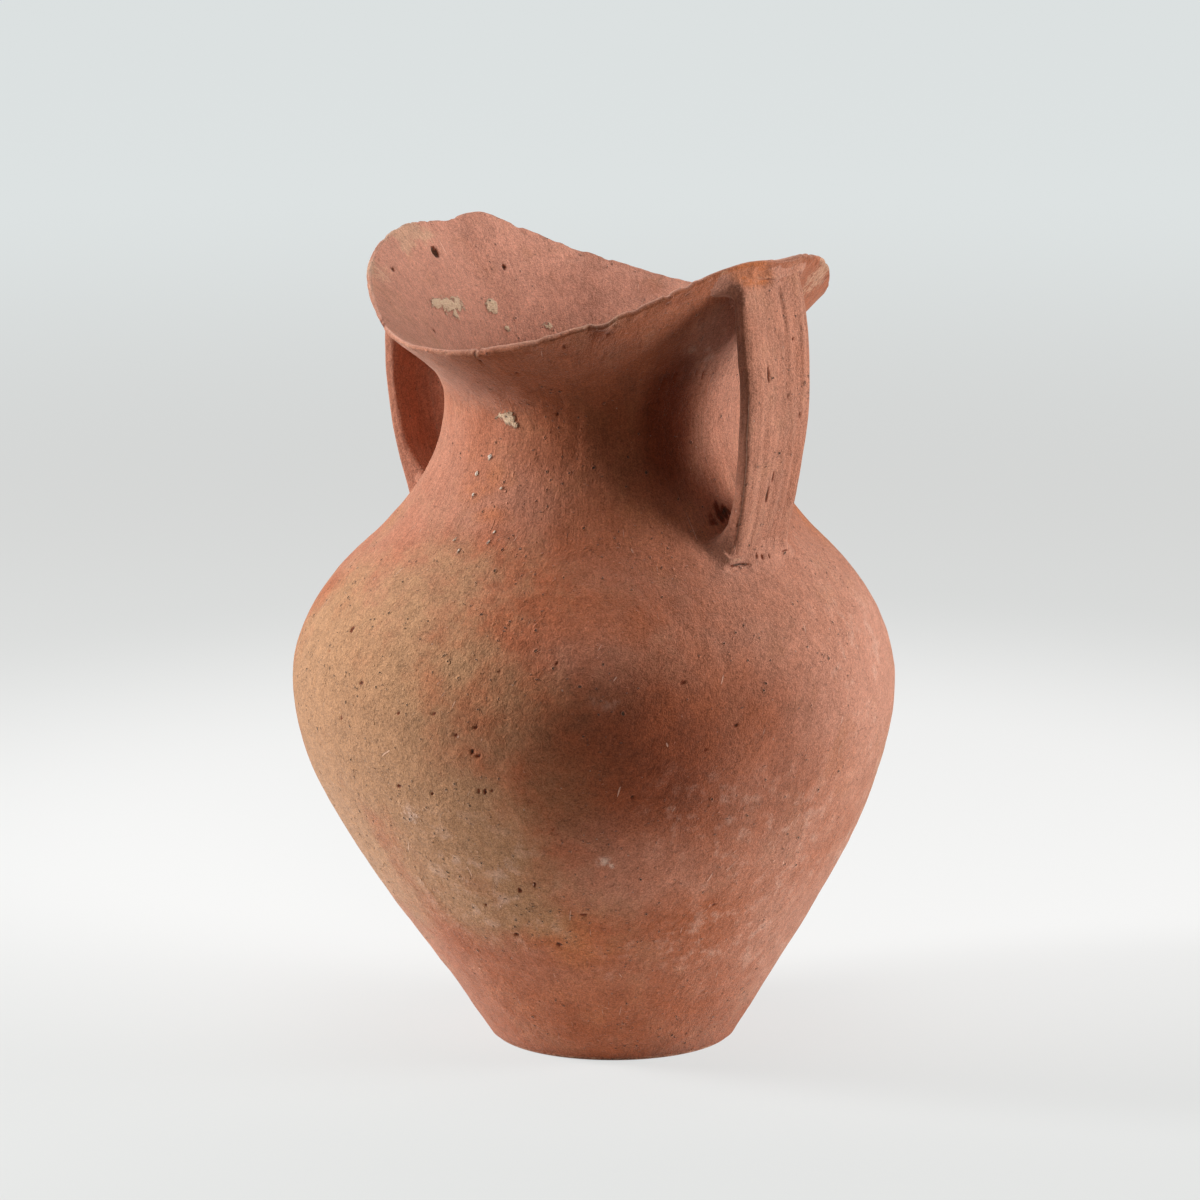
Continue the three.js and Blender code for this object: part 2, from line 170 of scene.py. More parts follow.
# How the lip wanders from its even curve: angle in degrees, rise or reach in mm.
LIP_RISE = (
    (-168, 0.4), (-164, 0.8), (-155, 1.2), (-149, 1.6), (-140, 0.9), (-128, -0.6), (-111, -0.2),
    (-102, 0.2), (-93, 0.5), (-83, 0.3), (-75, 0.3), (-66, -0.3), (-51, -1.0), (-45, -2.1), (-35, -2.0),
    (-27, -0.5), (-20, 0.9), (-13, 1.9), (-8, 1.9), (-3, 0.9), (2, 0.5), (8, 1.5), (13.5, 2.3), (20, 2.4),
    (27, 2.6), (34, 1.2), (48, -0.6), (64, -0.8), (80, 0.3), (96, -0.4), (112, -0.4), (119, -1.1),
    (129, -1.6), (142, -2.4), (154, -0.8), (158.5, 0.6), (163.5, 2.6), (167.5, 2.0), (170.5, 0.0),
    (175.5, -2.2), (181, -1.8), (187, -0.3),
)
LIP_REACH = (
    (-150, 1.2), (-140, 2.4), (-130, 0.6), (-121, -1.0), (-106, -0.4), (-80, 0.2), (-50, -0.3), (-20, 0.3),
    (20, 0.6), (34, 1.2), (50, 0.4), (70, -0.2), (110, 0.3), (140, -0.6), (165, 0.4), (190, -0.4),
)
# A spot is full this near its middle and gone this far from it, in half sizes.
SPOT_FULL, SPOT_GONE = 0.1, 1.6
# Wiping strokes lean between the first two heights and stand up above the third.
LEAN_LOW, LEAN_HIGH, UPRIGHT = 0.06, 0.18, 0.215
# Height below which the inside is left rough and smoky.
DEEP_INSIDE = 0.2
# Painted shade in pits and in the straps' nicks, strong enough to show near black, and how far crust stands
# off the clay.
SHADE_IN_PITS = 2.4
SHADE_IN_NICKS = 2.2
CRUST_RISE = 0.7 * MM
# How far the luting's feather edges lie under the clay, and how far hidden ends are set into the wall.
FEATHER = 0.3 * MM
SINK = 1.5 * MM
# Points round a strap and along it, and round its luting and across it.
STRAP_ROUND, STRAP_ROWS = 120, 165
LUTING_ROUND, LUTING_ROWS = 168, 34


def length(name, value, description):
    """A length in metres, given in millimetres."""
    kind = {"subtype": "DISTANCE", "unit": "LENGTH"}
    return FloatProperty(name=name, description=description, default=value * MM, **kind)


def number(name, value, description, subtype="NONE"):
    """A share, a slope, an angle or a power."""
    return FloatProperty(name=name, description=description, default=value, subtype=subtype)


def colour(name, value, description):
    """A colour that a user may change, as linear red, green and blue."""
    kind = {"size": 3, "subtype": "COLOR", "min": 0, "max": 1}
    return FloatVectorProperty(name=name, description=description, default=value, **kind)


class JarWallSizes(bpy.types.PropertyGroup):
    """Sizes of the wall, from foot to neck."""

    foot_radius: length("Foot Radius", 48.4, "Outer radius of the foot")
    foot_flare: number("Foot Flare", 0.59, "Radius gained per height at the foot")
    foot_rounding: length("Foot Rounding", 1.8, "Radius of the foot's worn lower edge")
    base_thickness: length("Base Thickness", 10.0, "Thickness of the base disc")
    belly_radius: length("Belly Radius", 120.5, "Largest outer radius")
    belly_height: length("Belly Height", 146.0, "Height of the largest radius")
    shoulder_radius: length("Shoulder Radius", 91.7, "Outer radius half-way up the shoulder")
    shoulder_height: length("Shoulder Height", 200.0, "Height half-way up the shoulder")
    shoulder_fall: number("Shoulder Fall", 1.05, "Radius lost per height half-way up the shoulder")
    neck_radius: length("Neck Radius", 61.4, "Outer radius of the neck at its narrowest")
    neck_height: length("Neck Height", 258.0, "Height of the narrowest place")
    lean: length("Lean", 10.2, "How far the belly stands off, away from the right handle")
    lean_back: length("Lean Back", 2.6, "How far the mouth comes back")
    thickness: length("Wall Thickness", 6.5, "Thickness of the wall")
    coil_bevel: length("Coil Bevel", 5.0, "How far a coil's inner edge reaches below its outer edge")


class JarMouthSizes(bpy.types.PropertyGroup):
    """Sizes of the flaring mouth and its rim."""

    radius: length("Mouth Radius", 93.3, "Mean outer radius of the rim")
    oval: length("Mouth Oval", -1.2, "Extra reach towards the handles, less reach between them")
    square: length("Mouth Square", 2.3, "Extra reach at the handles and half-way between them")
    rise: length("Mouth Rise", 29.6, "Height of the rim above the neck, half-way between the handles")
    saddle: length("Saddle Depth", 34.4, "How far the rim rises to each handle")
    curl: number("Flare Curl", 0.8, "How early the mouth turns outwards")
    rim_thickness: length("Rim Thickness", 3.4, "Thickness of the lip")
    lip_thinning: length("Lip Thinning", 0.9, "Thickness lost towards the lip's edge")
    rim_width: length("Rim Width", 22.0, "Width of the rim coil at the handles")
    lip_rounding: length("Lip Rounding", 1.2, "Height of the lip's rounded edge")


class JarStrapSizes(bpy.types.PropertyGroup):
    """Sizes of the two strap handles and of the clay luted round their ends."""

    width: length("Strap Width", 32.0, "Width of a strap")
    thickness: length("Strap Thickness", 7.0, "Thickness of a strap")
    edge: length("Strap Edge", 2.4, "Radius of a strap's long edges")
    bead: length("Edge Bead", 0.35, "How far a strap's face swells along its edges")
    top_drop: length("Top Drop", 9.0, "How far below the rim a strap's middle meets the mouth")
    bow_upper: number("Upper Bow", 0.24, "Share of the strap where it is drawn out first")
    bow_lower: number("Lower Bow", 0.6, "Share of the strap where it is drawn out last")
    right_bow: length("Right Bow", 8.7, "How far the right strap bows outwards")
    left_bow: length("Left Bow", 12.9, "How far the left strap bows outwards")
    right_root: length("Right Root", 8.0, "Height of the right strap's root above the shoulder")
    left_root: length("Left Root", 6.5, "Height of the left strap's root above the shoulder")
    right_spread: length("Right Spread", 5.0, "How far the right strap's near edge is pressed out")
    left_spread: length("Left Spread", 3.0, "How far the left strap's near edge is pressed out")
    right_filling: length("Right Filling", 2.0, "How much the right strap thickens inwards at its root")
    left_filling: length("Left Filling", 8.0, "How much the left strap thickens inwards at its root")
    luting_on_wall: length("Luting On Wall", 8.5, "How far soft clay spreads over the wall")
    luting_on_strap: length("Luting On Strap", 9.0, "How far soft clay spreads along the strap")


class JarClayColours(bpy.types.PropertyGroup):
    """Colours of the fired clay, of what time has left on it, and of painted light and shade."""

    red_clay: colour("Red Clay", (0.370, 0.109, 0.047), "Fired clay over most of the jar")
    # Pinker clay, also laid on as painted light where the side lamps fall.
    pink_and_lit_clay: colour("Pink Clay", (0.46, 0.200, 0.130), "Paler clay that was well aired in the kiln")
    inside_pink: colour("Inside Pink", (0.56, 0.262, 0.185), "Clay inside the mouth")
    orange_clay: colour("Orange Clay", (0.50, 0.155, 0.055), "Bright blooms on the neck")
    buff_clay: colour("Buff Clay", (0.405, 0.219, 0.114), "Fire cloud on the belly")
    # Smoke brown, also used as painted shade on the neck and in the belly's middle.
    smoke_and_shade_brown: colour("Smoke Brown", (0.148, 0.026, 0.008), "Smoky patches")
    # Soot black, also used as painted shade in pits, nicks and the neck's shadow band.
    soot_and_shade_black: colour("Soot Black", (0.034, 0.027, 0.017), "Soot by the right handle and in the pits")
    haze_white: colour("Haze White", (0.56, 0.38, 0.30), "Chalky haze")
    crust_cream: colour("Crust Cream", (0.74, 0.55, 0.37), "Lime crust")
    lime_white: colour("Lime White", (0.84, 0.73, 0.63), "Small lime grains")
    worn_tan: colour("Worn Tan", (0.54, 0.315, 0.205), "Edges rubbed bare")


class JarStudio(bpy.types.PropertyGroup):
    """The camera's place and the light round the jar."""

    azimuth: number("Azimuth", np.radians(43), "Camera's turn round the jar", "ANGLE")
    elevation: number("Elevation", np.radians(11.3), "Camera's height angle", "ANGLE")
    distance: length("Distance", 2500.0, "Camera's distance")
    lens: number("Lens", 187.5, "Focal length in millimetres")
    target_height: length("Target Height", 177.5, "Height that the camera looks at")
    target_shift: length("Target Shift", 5.2, "How far to the left the camera looks")
    left_watts: number("Left Light", 21.1, "Power of the left lamp", "POWER")
    right_watts: number("Right Light", 14.9, "Power of the right lamp", "POWER")
    top_watts: number("Top Light", 9.6, "Power of the lamp overhead", "POWER")
    left_width: length("Left Width", 220.0, "Width of the left lamp")
    right_width: length("Right Width", 460.0, "Width of the right lamp")
    lamp_height: length("Lamp Height", 600.0, "Height of a side lamp")
    left_off: length("Left Off", 1150.0, "How far the left lamp stands to the left")
    right_off: length("Right Off", 1140.0, "How far the right lamp stands to the right")
    right_ahead: length("Right Ahead", 120.0, "How far the right lamp stands towards the camera")
    left_rise: length("Left Rise", 480.0, "How far the left lamp stands above the jar's middle")
    right_rise: length("Right Rise", 250.0, "How far the right lamp stands above the jar's middle")
    top_width: length("Top Width", 1200.0, "Width of the lamp overhead")
    top_rise: length("Top Rise", 1430.0, "How far the lamp overhead stands above the jar's middle")
    aim_height: length("Aim Height", 170.0, "Height that the lamps point at, the jar's middle")
    bright_behind: length("Bright Behind", 360.0, "How far behind the jar the floor is brightest")
    bright_aside: length("Bright Aside", 40.0, "How far to the right the floor is brightest")
    fill: number("Fill", 0.13, "Strength of the even light all round")


class JarFineness(bpy.types.PropertyGroup):
    """How fine the meshes are."""

    around: IntProperty(name="Around", description="Points round the wall", default=800)
    row: length("Row", 0.95, "Height of a row of the outer wall")
    inner_row: length("Inner Row", 3.0, "Height of a row of the hidden inner wall")
    neck_row: length("Neck Row", 1.4, "Height of a row inside the neck")
    mouth_row: length("Mouth Row", 0.5, "Height of a row of the mouth, half-way between the handles")


LATTICE = np.random.default_rng(11).uniform(-1.0, 1.0, (32, 32, 32)).astype(np.float32)


def smooth(low, high, value):
    """0 below low and 1 above high, with a cubic ease between; low may be the larger."""
    t = np.clip((value - low) / (high - low), 0.0, 1.0)
    return t * t * (3.0 - 2.0 * t)


def bell(far):
    """From 1 in the middle to 0 outside, flat-bottomed: e to minus the distance to the fourth power."""
    return np.exp(-(np.minimum(far, 9.0) ** 4))


def unit(vectors):
    return vectors / np.linalg.norm(vectors, axis=-1, keepdims=True)


def joined(*parts):
    """Values broadcast against each other and set side by side along a last axis."""
    return np.stack(np.broadcast_arrays(*parts), -1)


def turn_from(angle, degrees):
    """The angle less some degrees, between minus and plus half a turn."""
    return (angle - np.radians(degrees) + np.pi) % (2 * np.pi) - np.pi


def clay_noise(points, spacing, layer):
    """Smooth noise between -1 and 1: random lattice values the spacing apart, blended by a quintic ease."""
    place = points / spacing + 7.31 * layer + 100.0
    cell = np.floor(place).astype(np.int32)
    t = (place - cell).astype(np.float32)
    t = t * t * t * (t * (t * 6.0 - 15.0) + 10.0)
    low, high = cell & 31, (cell + 1) & 31
    u, v, w = t[..., 0], t[..., 1], t[..., 2]
    total = 0.0
    for i, a in ((low[..., 0], 1.0 - u), (high[..., 0], u)):
        for j, b in ((low[..., 1], 1.0 - v), (high[..., 1], v)):
            for k, c in ((low[..., 2], 1.0 - w), (high[..., 2], w)):
                total = total + LATTICE[i, j, k] * a * b * c
    return total


def layered(points, *layers):
    """Sum of several noises, each given by its amount, spacing and layer."""
    return sum(amount * clay_noise(points, spacing, layer) for amount, spacing, layer in layers)


def hermite(t, start, end, span, slope_start, slope_end):
    """Cubic from start to end over a span, with the given slopes at its ends; its value and slope."""
    s = 1.0 - t
    value = start * (1 + 2 * t) * s * s + end * (3 - 2 * t) * t * t
    value = value + span * (slope_start * t * s * s - slope_end * t * t * s)
    slope = 6 * t * s * (end - start) / span + slope_start * s * (1 - 3 * t) + slope_end * t * (3 * t - 2)
    return value, slope


def wandering(table, angle, reach=2.5):
    """A periodic line through (degrees, mm) pairs, rounded by averaging over a few degrees either way."""
    degrees = np.degrees(angle)
    xs = np.array([d for d, _ in table], dtype=float)
    ys = np.array([mm for _, mm in table], dtype=float) * MM
    shifts = np.linspace(-reach, reach, 7)
    return sum(np.interp(degrees + s, xs, ys, period=360.0) for s in shifts) / len(shifts)


class JarForm:
    """The jar's smooth outside and inside, as functions of the way up the wall and the angle round it.

    The way is 0 at the foot, 1 at the neck and 2 at the rim. Below the neck it is height over neck height.
    """

    def __init__(self, scene):
        self.wall, self.mouth = scene.jar_wall, scene.jar_mouth
        self.strap, self.fine = scene.jar_strap, scene.jar_fineness

    def centre_x(self, height):
        """Lean: the centre line eases out to the belly, then part of the way back up to the mouth."""
        wall = self.wall
        out = smooth(0.0, wall.belly_height, height)
        back = smooth(wall.belly_height, wall.neck_height + self.mouth.rise, height)
        return wall.lean_back * back - wall.lean * out

    def body(self, height):
        """Outer radius and slope: three cubics, foot to belly, belly to shoulder and shoulder to neck."""
        w = self.wall
        stations = (
            (0.0, w.foot_radius, w.foot_flare),
            (w.belly_height, w.belly_radius, 0.0),
            (w.shoulder_height, w.shoulder_radius, -w.shoulder_fall),
            (w.neck_height, w.neck_radius, 0.0),
        )
        found = ()
        for (low, start, leaving), (high, end, arriving) in zip(stations, stations[1:]):
            t = np.clip((height - low) / (high - low), -0.1, 1)
            piece = hermite(t, start, end, high - low, leaving, arriving)
            found = tuple(np.where(height < low, a, b) for a, b in zip(found or piece, piece))
        return found

    def rim_reach(self, angle):
        """Outline of the rim in plan: a circle, an oval wave, a square wave and the hand's wandering."""
        m = self.mouth
        even = m.radius + m.oval * np.cos(2 * angle) + m.square * np.cos(4 * angle)
        return even + wandering(LIP_REACH, angle, 5.0)

    def rim_height(self, angle):
        """Saddle: low between the handles, rising with the squared cosine of the angle to each handle."""
        m = self.mouth
        even = self.wall.neck_height + m.rise + m.saddle * np.cos(angle) ** 2
        return even + wandering(LIP_RISE, angle)

    def lip_loss(self, angle):
        """Height lost from the lip: listed chips, each a bell of the arc from its middle, and fine jags."""
        radius = self.mouth.radius
        loss = np.zeros_like(angle)
        for degrees, half_width, deep in LIP_CHIPS:
            far = np.abs(turn_from(angle, degrees)) * radius / (half_width * MM)
            loss = np.maximum(loss, deep * MM * bell(far))
        ring = radius * joined(np.cos(angle), np.sin(angle), 0 * angle)
        return loss + MM * layered(ring, (0.16, 0.007, 53), (0.12, 0.0024, 54))

    def outside(self, way, angle):
        """Outer radius, height and slope. The mouth's flare: share squared times (1 + curl (1 - share))."""
        w, curl = self.wall, self.mouth.curl
        height = np.clip(way, -1, 1) * w.neck_height
        radius, slope = self.body(height)
        share = np.maximum(way - 1, 0)
        reach, rise = self.rim_reach(angle) - w.neck_radius, self.rim_height(angle) - w.neck_height
        loss = self.lip_loss(angle) * smooth(0.90, 1.0, share)
        is_body = way <= 1
        return (
            np.where(is_body, radius, w.neck_radius + reach * share * share * (1 + curl * (1 - share))),
            np.where(is_body, height, w.neck_height + rise * share - loss),
            np.where(is_body, slope, reach * share * (2 + curl * (2 - 3 * share)) / rise),
        )

    def inside(self, way, angle):
        """Inner radius, height and slope: level offset below the neck, and square to the wall above it."""
        radius, height, slope = self.outside(way, angle)
        share = np.clip(way - 1, 0, 1)
        thickness = self.wall.thickness + (self.mouth.rim_thickness - self.wall.thickness) * share
        thickness = thickness - self.mouth.lip_thinning * smooth(0.86, 1.0, share)
        stretch = np.hypot(1, slope)
        is_body = way <= 1
        radius = np.where(is_body, radius - thickness * stretch, radius - thickness / stretch)
        return radius, np.where(is_body, height, height + thickness * slope / stretch), slope

    def place(self, radius, height, angle):
        return joined(self.centre_x(height) + radius * np.cos(angle), radius * np.sin(angle), height)

    def way_at(self, height, angle):
        """The way up the wall at a height, running on past the rim."""
        neck = self.wall.neck_height
        above = (height - neck) / (self.rim_height(angle) - neck)
        return np.where(height <= neck, height / neck, 1 + above)

    def beside(self, points):
        """The wall's angle, radius and slope beside points, and their distance from the centre line."""
        x = points[..., 0] - self.centre_x(points[..., 2])
        angle = np.arctan2(points[..., 1], x)
        radius, _, slope = self.outside(self.way_at(points[..., 2], angle), angle)
        return angle, radius, slope, np.hypot(x, points[..., 1])

    def stand_off(self, points):
        """Distance off the wall, square to it."""
        _, radius, slope, distance = self.beside(points)
        return (distance - radius) / np.hypot(1, slope)

    def on_wall(self, points, distance):
        """Points moved level until they stand the given distance off the wall."""
        angle, radius, slope, _ = self.beside(points)
        return self.place(radius + distance * np.hypot(1, slope), points[..., 2], angle)

    def pushed_out(self, points, distance):
        """Points moved the given distance square to the wall beside them."""
        angle, _, slope, _ = self.beside(points)
        return points + self.out_of_wall(slope, angle) * distance[..., None]

    def out_of_wall(self, slope, angle):
        """Direction square to the wall, outwards."""
        return joined(np.cos(angle), np.sin(angle), -slope) / np.hypot(1, slope)[..., None]


def from_places(table, angle, height, radius):
    """For each listed place, the distance from its middle over its half size, and its last number."""
    for degrees, mm, half_width, half_height, last in table:
        across = turn_from(angle, degrees) * radius / (half_width * MM)
        yield np.hypot(across, (height - mm * MM) / (half_height * MM)), last


def spots(table, angle, height, radius, ragged):
    """Largest of several soft oval spots; each fades from its middle, and noise makes its edge ragged."""
    total = np.zeros(np.broadcast(angle, height).shape)
    for far, strength in from_places(table, angle, height, radius):
        total = np.maximum(total, strength * smooth(SPOT_GONE, SPOT_FULL, far + ragged))
    return total


def dents(table, angle, height, radius):
    """Depth of several rounded holes on the wall, each a bell of the distance over the hole's size."""
    depth = np.zeros(np.broadcast(angle, height).shape)
    for far, deep in from_places(table, angle, height, radius):
        depth = np.maximum(depth, deep * MM * bell(far))
    return depth


def strokes_on_wall(points, angle, height):
    """Coordinates in which wiping strokes run along the third axis: up the neck, slanting on the belly."""
    wobble = layered(points, (0.05, 0.03, 5), (0.02, 0.011, 8))
    turn = angle - 5.0 * np.clip(height, LEAN_LOW, LEAN_HIGH) + wobble
    along = 0.7 * np.minimum(height, UPRIGHT) + 0.16 * np.maximum(height - UPRIGHT, 0)
    return np.stack([0.1 * np.cos(turn), 0.1 * np.sin(turn), along], -1)


def hand_relief(points, strokes):
    """Height of the hand's marks: broad dents, finger-wide waves, fine ripples and ridges along strokes."""
    dented = layered(points, (0.75, 0.075, 1), (0.36, 0.03, 2), (0.20, 0.012, 3), (0.10, 0.005, 4))
    return (dented + layered(strokes, (0.06, 0.0075, 6), (0.04, 0.0034, 7))) * MM


class ClaySheet:
    """Points of a grid with what the clay's finish needs at each of them."""

    def __init__(self, points, normals, stain, skin, strokes):
        self.parts = [points, normals, stain, skin, strokes]

    def cut(self, rows):
        return ClaySheet(*(part[rows] for part in self.parts))

    def inner_rows(self):
        """All rows but the first and last, which only serve the normals."""
        return self.cut(slice(1, -1))

    @staticmethod
    def stack(*sheets):
        return ClaySheet(*(np.concatenate(parts, 0) for parts in zip(*(sheet.parts for sheet in sheets))))


def grid_normals(points):
    """Unit normals of a grid whose columns close on themselves: across the columns times up the rows."""
    across = np.roll(points, -1, 1) - np.roll(points, 1, 1)
    normals = np.cross(across, np.gradient(points, axis=0))
    return normals / np.maximum(np.linalg.norm(normals, axis=-1, keepdims=True), 1e-12)


def darken(stain, smoke_and_shade):
    """Raises a stain's channel of smoke and painted shade to at least the given strength."""
    stain[..., 1] = np.maximum(stain[..., 1], smoke_and_shade)


def wall_stain(points, angle, height, radius):
    """Fire cloud, smoke with painted shade, orange bloom and chalky haze with some painted sheen, on the
    outside.
    """
    where = angle, height, radius
    broad = layered(points, (0.45, 0.042, 21), (0.25, 0.016, 22))
    streaky = 0.4 * clay_noise(points * (1, 1, 0.5), 0.018, 23)
    hairy = 0.6 * clay_noise(points * (1, 1, 0.5), 0.0022, 27)
    hairy = hairy + 0.7 * clay_noise(points * (1, 1, 0.3), 0.0012, 28)
    smoke_and_shade = np.maximum(spots(SMOKE_AND_SHADE_CLOUDS, *where, broad * 0.35), spots(SOOT_TUFTS, *where, hairy))
    # Two haze places are painted light: on the neck under the right loop, and a painted sheen low on the
    # right.
    orange, haze = spots(ORANGE_BLOOMS, *where, broad), spots(WHITE_HAZE_AND_SHEEN, *where, broad + streaky)
    return joined(spots(BUFF_CLOUDS, *where, broad * 0.6), smoke_and_shade, orange, haze)


def lip_wear(points, angle):
    """Rubbed patches along the lip, 0 to 1, but none where a strap's clay covers it."""
    patches = smooth(-0.3, 0.5, clay_noise(points, 0.011, 55))
    return 0.75 * patches * smooth(0.985, 0.965, np.abs(np.cos(angle)))


def outer_sheet(form, ways, angles):
    """The outside of the wall with its relief, pits, crust and stains."""
    way, angle = ways[:, None], angles[None, :]
    radius, height, slope, angle = np.broadcast_arrays(*form.outside(way, angle), angle)
    where = angle, height, radius
    points = form.place(radius, height, angle)
    strokes = strokes_on_wall(points, angle, height)
    ragged = layered(points, (0.35, 0.006, 24), (0.3, 0.0022, 25))
    grains = spots(LIME_GRAINS, *where, ragged)
    crust = np.maximum(spots(OUTER_CRUST, *where, ragged), grains)
    pits = dents(OUTER_PITS, *where)
    flat_foot = smooth(0.0, 0.012, height)
    relief = hand_relief(points, strokes) * flat_foot + CRUST_RISE * smooth(0.25, 0.6, crust) - pits
    points = points + form.out_of_wall(slope, angle) * relief[..., None]
    wear = lip_wear(points, angle) * smooth(0.95, 1.0, way - 1) + spots(WORN_PLACES, *where, ragged)
    stain = wall_stain(points, *where)
    # Painted shade: the dented pits are darkened towards black.
    darken(stain, SHADE_IN_PITS * smooth(0.2 * MM, 0.8 * MM, pits))
    # Painted contact shadow: darker along the lowest 8 mm of the foot.
    darken(stain, 0.55 * smooth(0.008, 0.0, height))
    stain[..., 3] = np.maximum(stain[..., 3], 3.0 * grains)
    # Paler pink where the clay was aired and, as painted light, where the side lamps fall.
    aired_and_lit = spots(AIRED_AND_LIT_PLACES, *where, 0.25 * clay_noise(points, 0.03, 26))
    return ClaySheet(points, grid_normals(points), stain, joined(crust, wear, aired_and_lit, 0.0), strokes)


def inner_sheet(form, ways, angles):
    """The inside of the wall, from the rim down: finger marks below, pits and crust in the mouth."""
    way, angle = ways[:, None], angles[None, :]
    radius, height, slope, angle = np.broadcast_arrays(*form.inside(way, angle), angle)
    where = angle, height, radius
    points = form.place(radius, height, angle)
    strokes = joined(0.09 * np.cos(angle), 0.09 * np.sin(angle), 0.35 * height)
    ragged = layered(points, (0.5, 0.005, 34), (0.35, 0.0018, 35))
    crust = spots(INNER_CRUST, *where, ragged)
    pits = dents(INNER_PITS, *where)
    waves = np.sin(height / 0.0021 + 1.5 * clay_noise(points, 0.05, 36))
    fingers = waves * smooth(0.24, DEEP_INSIDE, height)
    relief = -0.6 * hand_relief(points, strokes) + 0.35 * MM * fingers
    relief = relief - CRUST_RISE * smooth(0.25, 0.6, crust) + pits
    points = points + form.out_of_wall(slope, angle) * relief[..., None]
    wear = lip_wear(points, angle) * smooth(0.96, 1.0, way - 1) + spots(WORN_PLACES, *where, ragged)
    broad = layered(points, (0.45, 0.03, 31), (0.25, 0.012, 32))
    deep = smooth(0.27, DEEP_INSIDE, height)
    smoke_and_shade = 0.35 * deep + spots(INNER_SMOKE_AND_SHADE, *where, broad)
    buff, haze = 0.5 * smooth(0.1, 0.6, broad) * (1 - deep), 0.35 * smooth(0.0, 0.5, broad)
    stain = joined(buff, smoke_and_shade, 0.3 * smooth(0.2, 0.7, -broad), haze)
    # Painted shade: the pits inside the mouth are darkened towards black.
    darken(stain, SHADE_IN_PITS * smooth(0.2 * MM, 0.8 * MM, pits))
    return ClaySheet(points, grid_normals(points), stain, joined(crust, wear, 1.0, 0.0), strokes)


def ring_quads(row_count, column_count, wraps_rows):
    """Corners of the quads between the rows of a grid whose columns close on themselves."""
    i = np.arange(row_count if wraps_rows else row_count - 1)[:, None] * column_count
    j = np.arange(column_count)[None, :]
    k = (j + 1) % column_count
    above = (i + column_count) % (row_count * column_count)
    return joined(i + j, i + k, above + k, above + j).reshape(-1, 4)


def put_piece(node, sheet, poles=()):
    """Makes a piece from a sheet whose columns close on themselves, and sets it in the place of a node.

    The rows close on themselves too, or end in two poles. Quads run from row to row, triangles to a pole.
    """
    row_count, column_count = sheet.parts[0].shape[:2]
    quads = ring_quads(row_count, column_count, not poles)
    flat = [part.reshape(-1, part.shape[-1]) for part in sheet.parts]
    triangles = np.empty((0, 3), dtype=int)
    if poles:
        j = np.arange(column_count)
        k = (j + 1) % column_count
        start = row_count * column_count
        last = start - column_count
        triangles = np.concatenate([joined(k, j, start), joined(last + j, last + k, start + 1)])
        ends = [part[[0, -1]].mean(1) for part in sheet.parts]
        ends[0], ends[1] = np.array([p for p, _ in poles]), np.array([n for _, n in poles])
        flat = [np.concatenate(pair) for pair in zip(flat, ends)]
    mesh = bpy.data.meshes.new(f"clay_{node}")
    mesh.vertices.add(len(flat[0]))
    mesh.vertices.foreach_set("co", flat[0].astype(np.float32).ravel())
    corners = np.concatenate([quads.ravel(), triangles.ravel()])
    mesh.loops.add(len(corners))
    mesh.loops.foreach_set("vertex_index", corners.astype(np.int32))
    mesh.polygons.add(len(quads) + len(triangles))
    starts = np.concatenate([np.arange(len(quads)) * 4, quads.size + np.arange(len(triangles)) * 3])
    mesh.polygons.foreach_set("loop_start", starts.astype(np.int32))
    mesh.update(calc_edges=True)
    mesh.polygons.foreach_set("use_smooth", np.ones(len(mesh.polygons), dtype=bool))
    mesh.normals_split_custom_set_from_vertices(flat[1].astype(np.float32))
    for label, kind, key, values in (
        ("stain", "FLOAT_COLOR", "color", flat[2]),
        ("skin", "FLOAT_COLOR", "color", flat[3]),
        ("strokes", "FLOAT_VECTOR", "vector", flat[4]),
    ):
        mesh.attributes.new(label, kind, "POINT").data.foreach_set(key, values.astype(np.float32).ravel())
    mesh.materials.append(fired_clay())
    piece = bpy.data.objects.new(f"clay_{node}", mesh)
    bpy.context.scene.collection.objects.link(piece)
    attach(piece, "root")
    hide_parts(node)


def rows_between(low, high, step):
    """Evenly spaced ways from low to high, with one more beyond each end."""
    count = max(2, int(np.ceil(abs(high - low) / step)))
    return low + (high - low) * np.arange(-1, count + 2) / count


def round_angles(form):
    return np.linspace(-np.pi, np.pi, form.fine.around, endpoint=False)


def wall_ring(form, low, high, inner_low, inner_high, inner_row):
    """A closed ring of the wall: up its outside, across its upper joint, down its inside and back."""
    neck = form.wall.neck_height
    angles = round_angles(form)
    outer = outer_sheet(form, rows_between(low / neck, high / neck, form.fine.row / neck), angles)
    inner = inner_sheet(form, rows_between(inner_high / neck, inner_low / neck, inner_row / neck), angles)
    return ClaySheet.stack(outer.inner_rows(), inner.inner_rows())


def coil_joints():
    """Heights of the joints between coils, from the boxes of the frame's own coils."""
    return [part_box("base_disc")[1][2]] + [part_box(node)[1][2] for node in WALL_COILS]


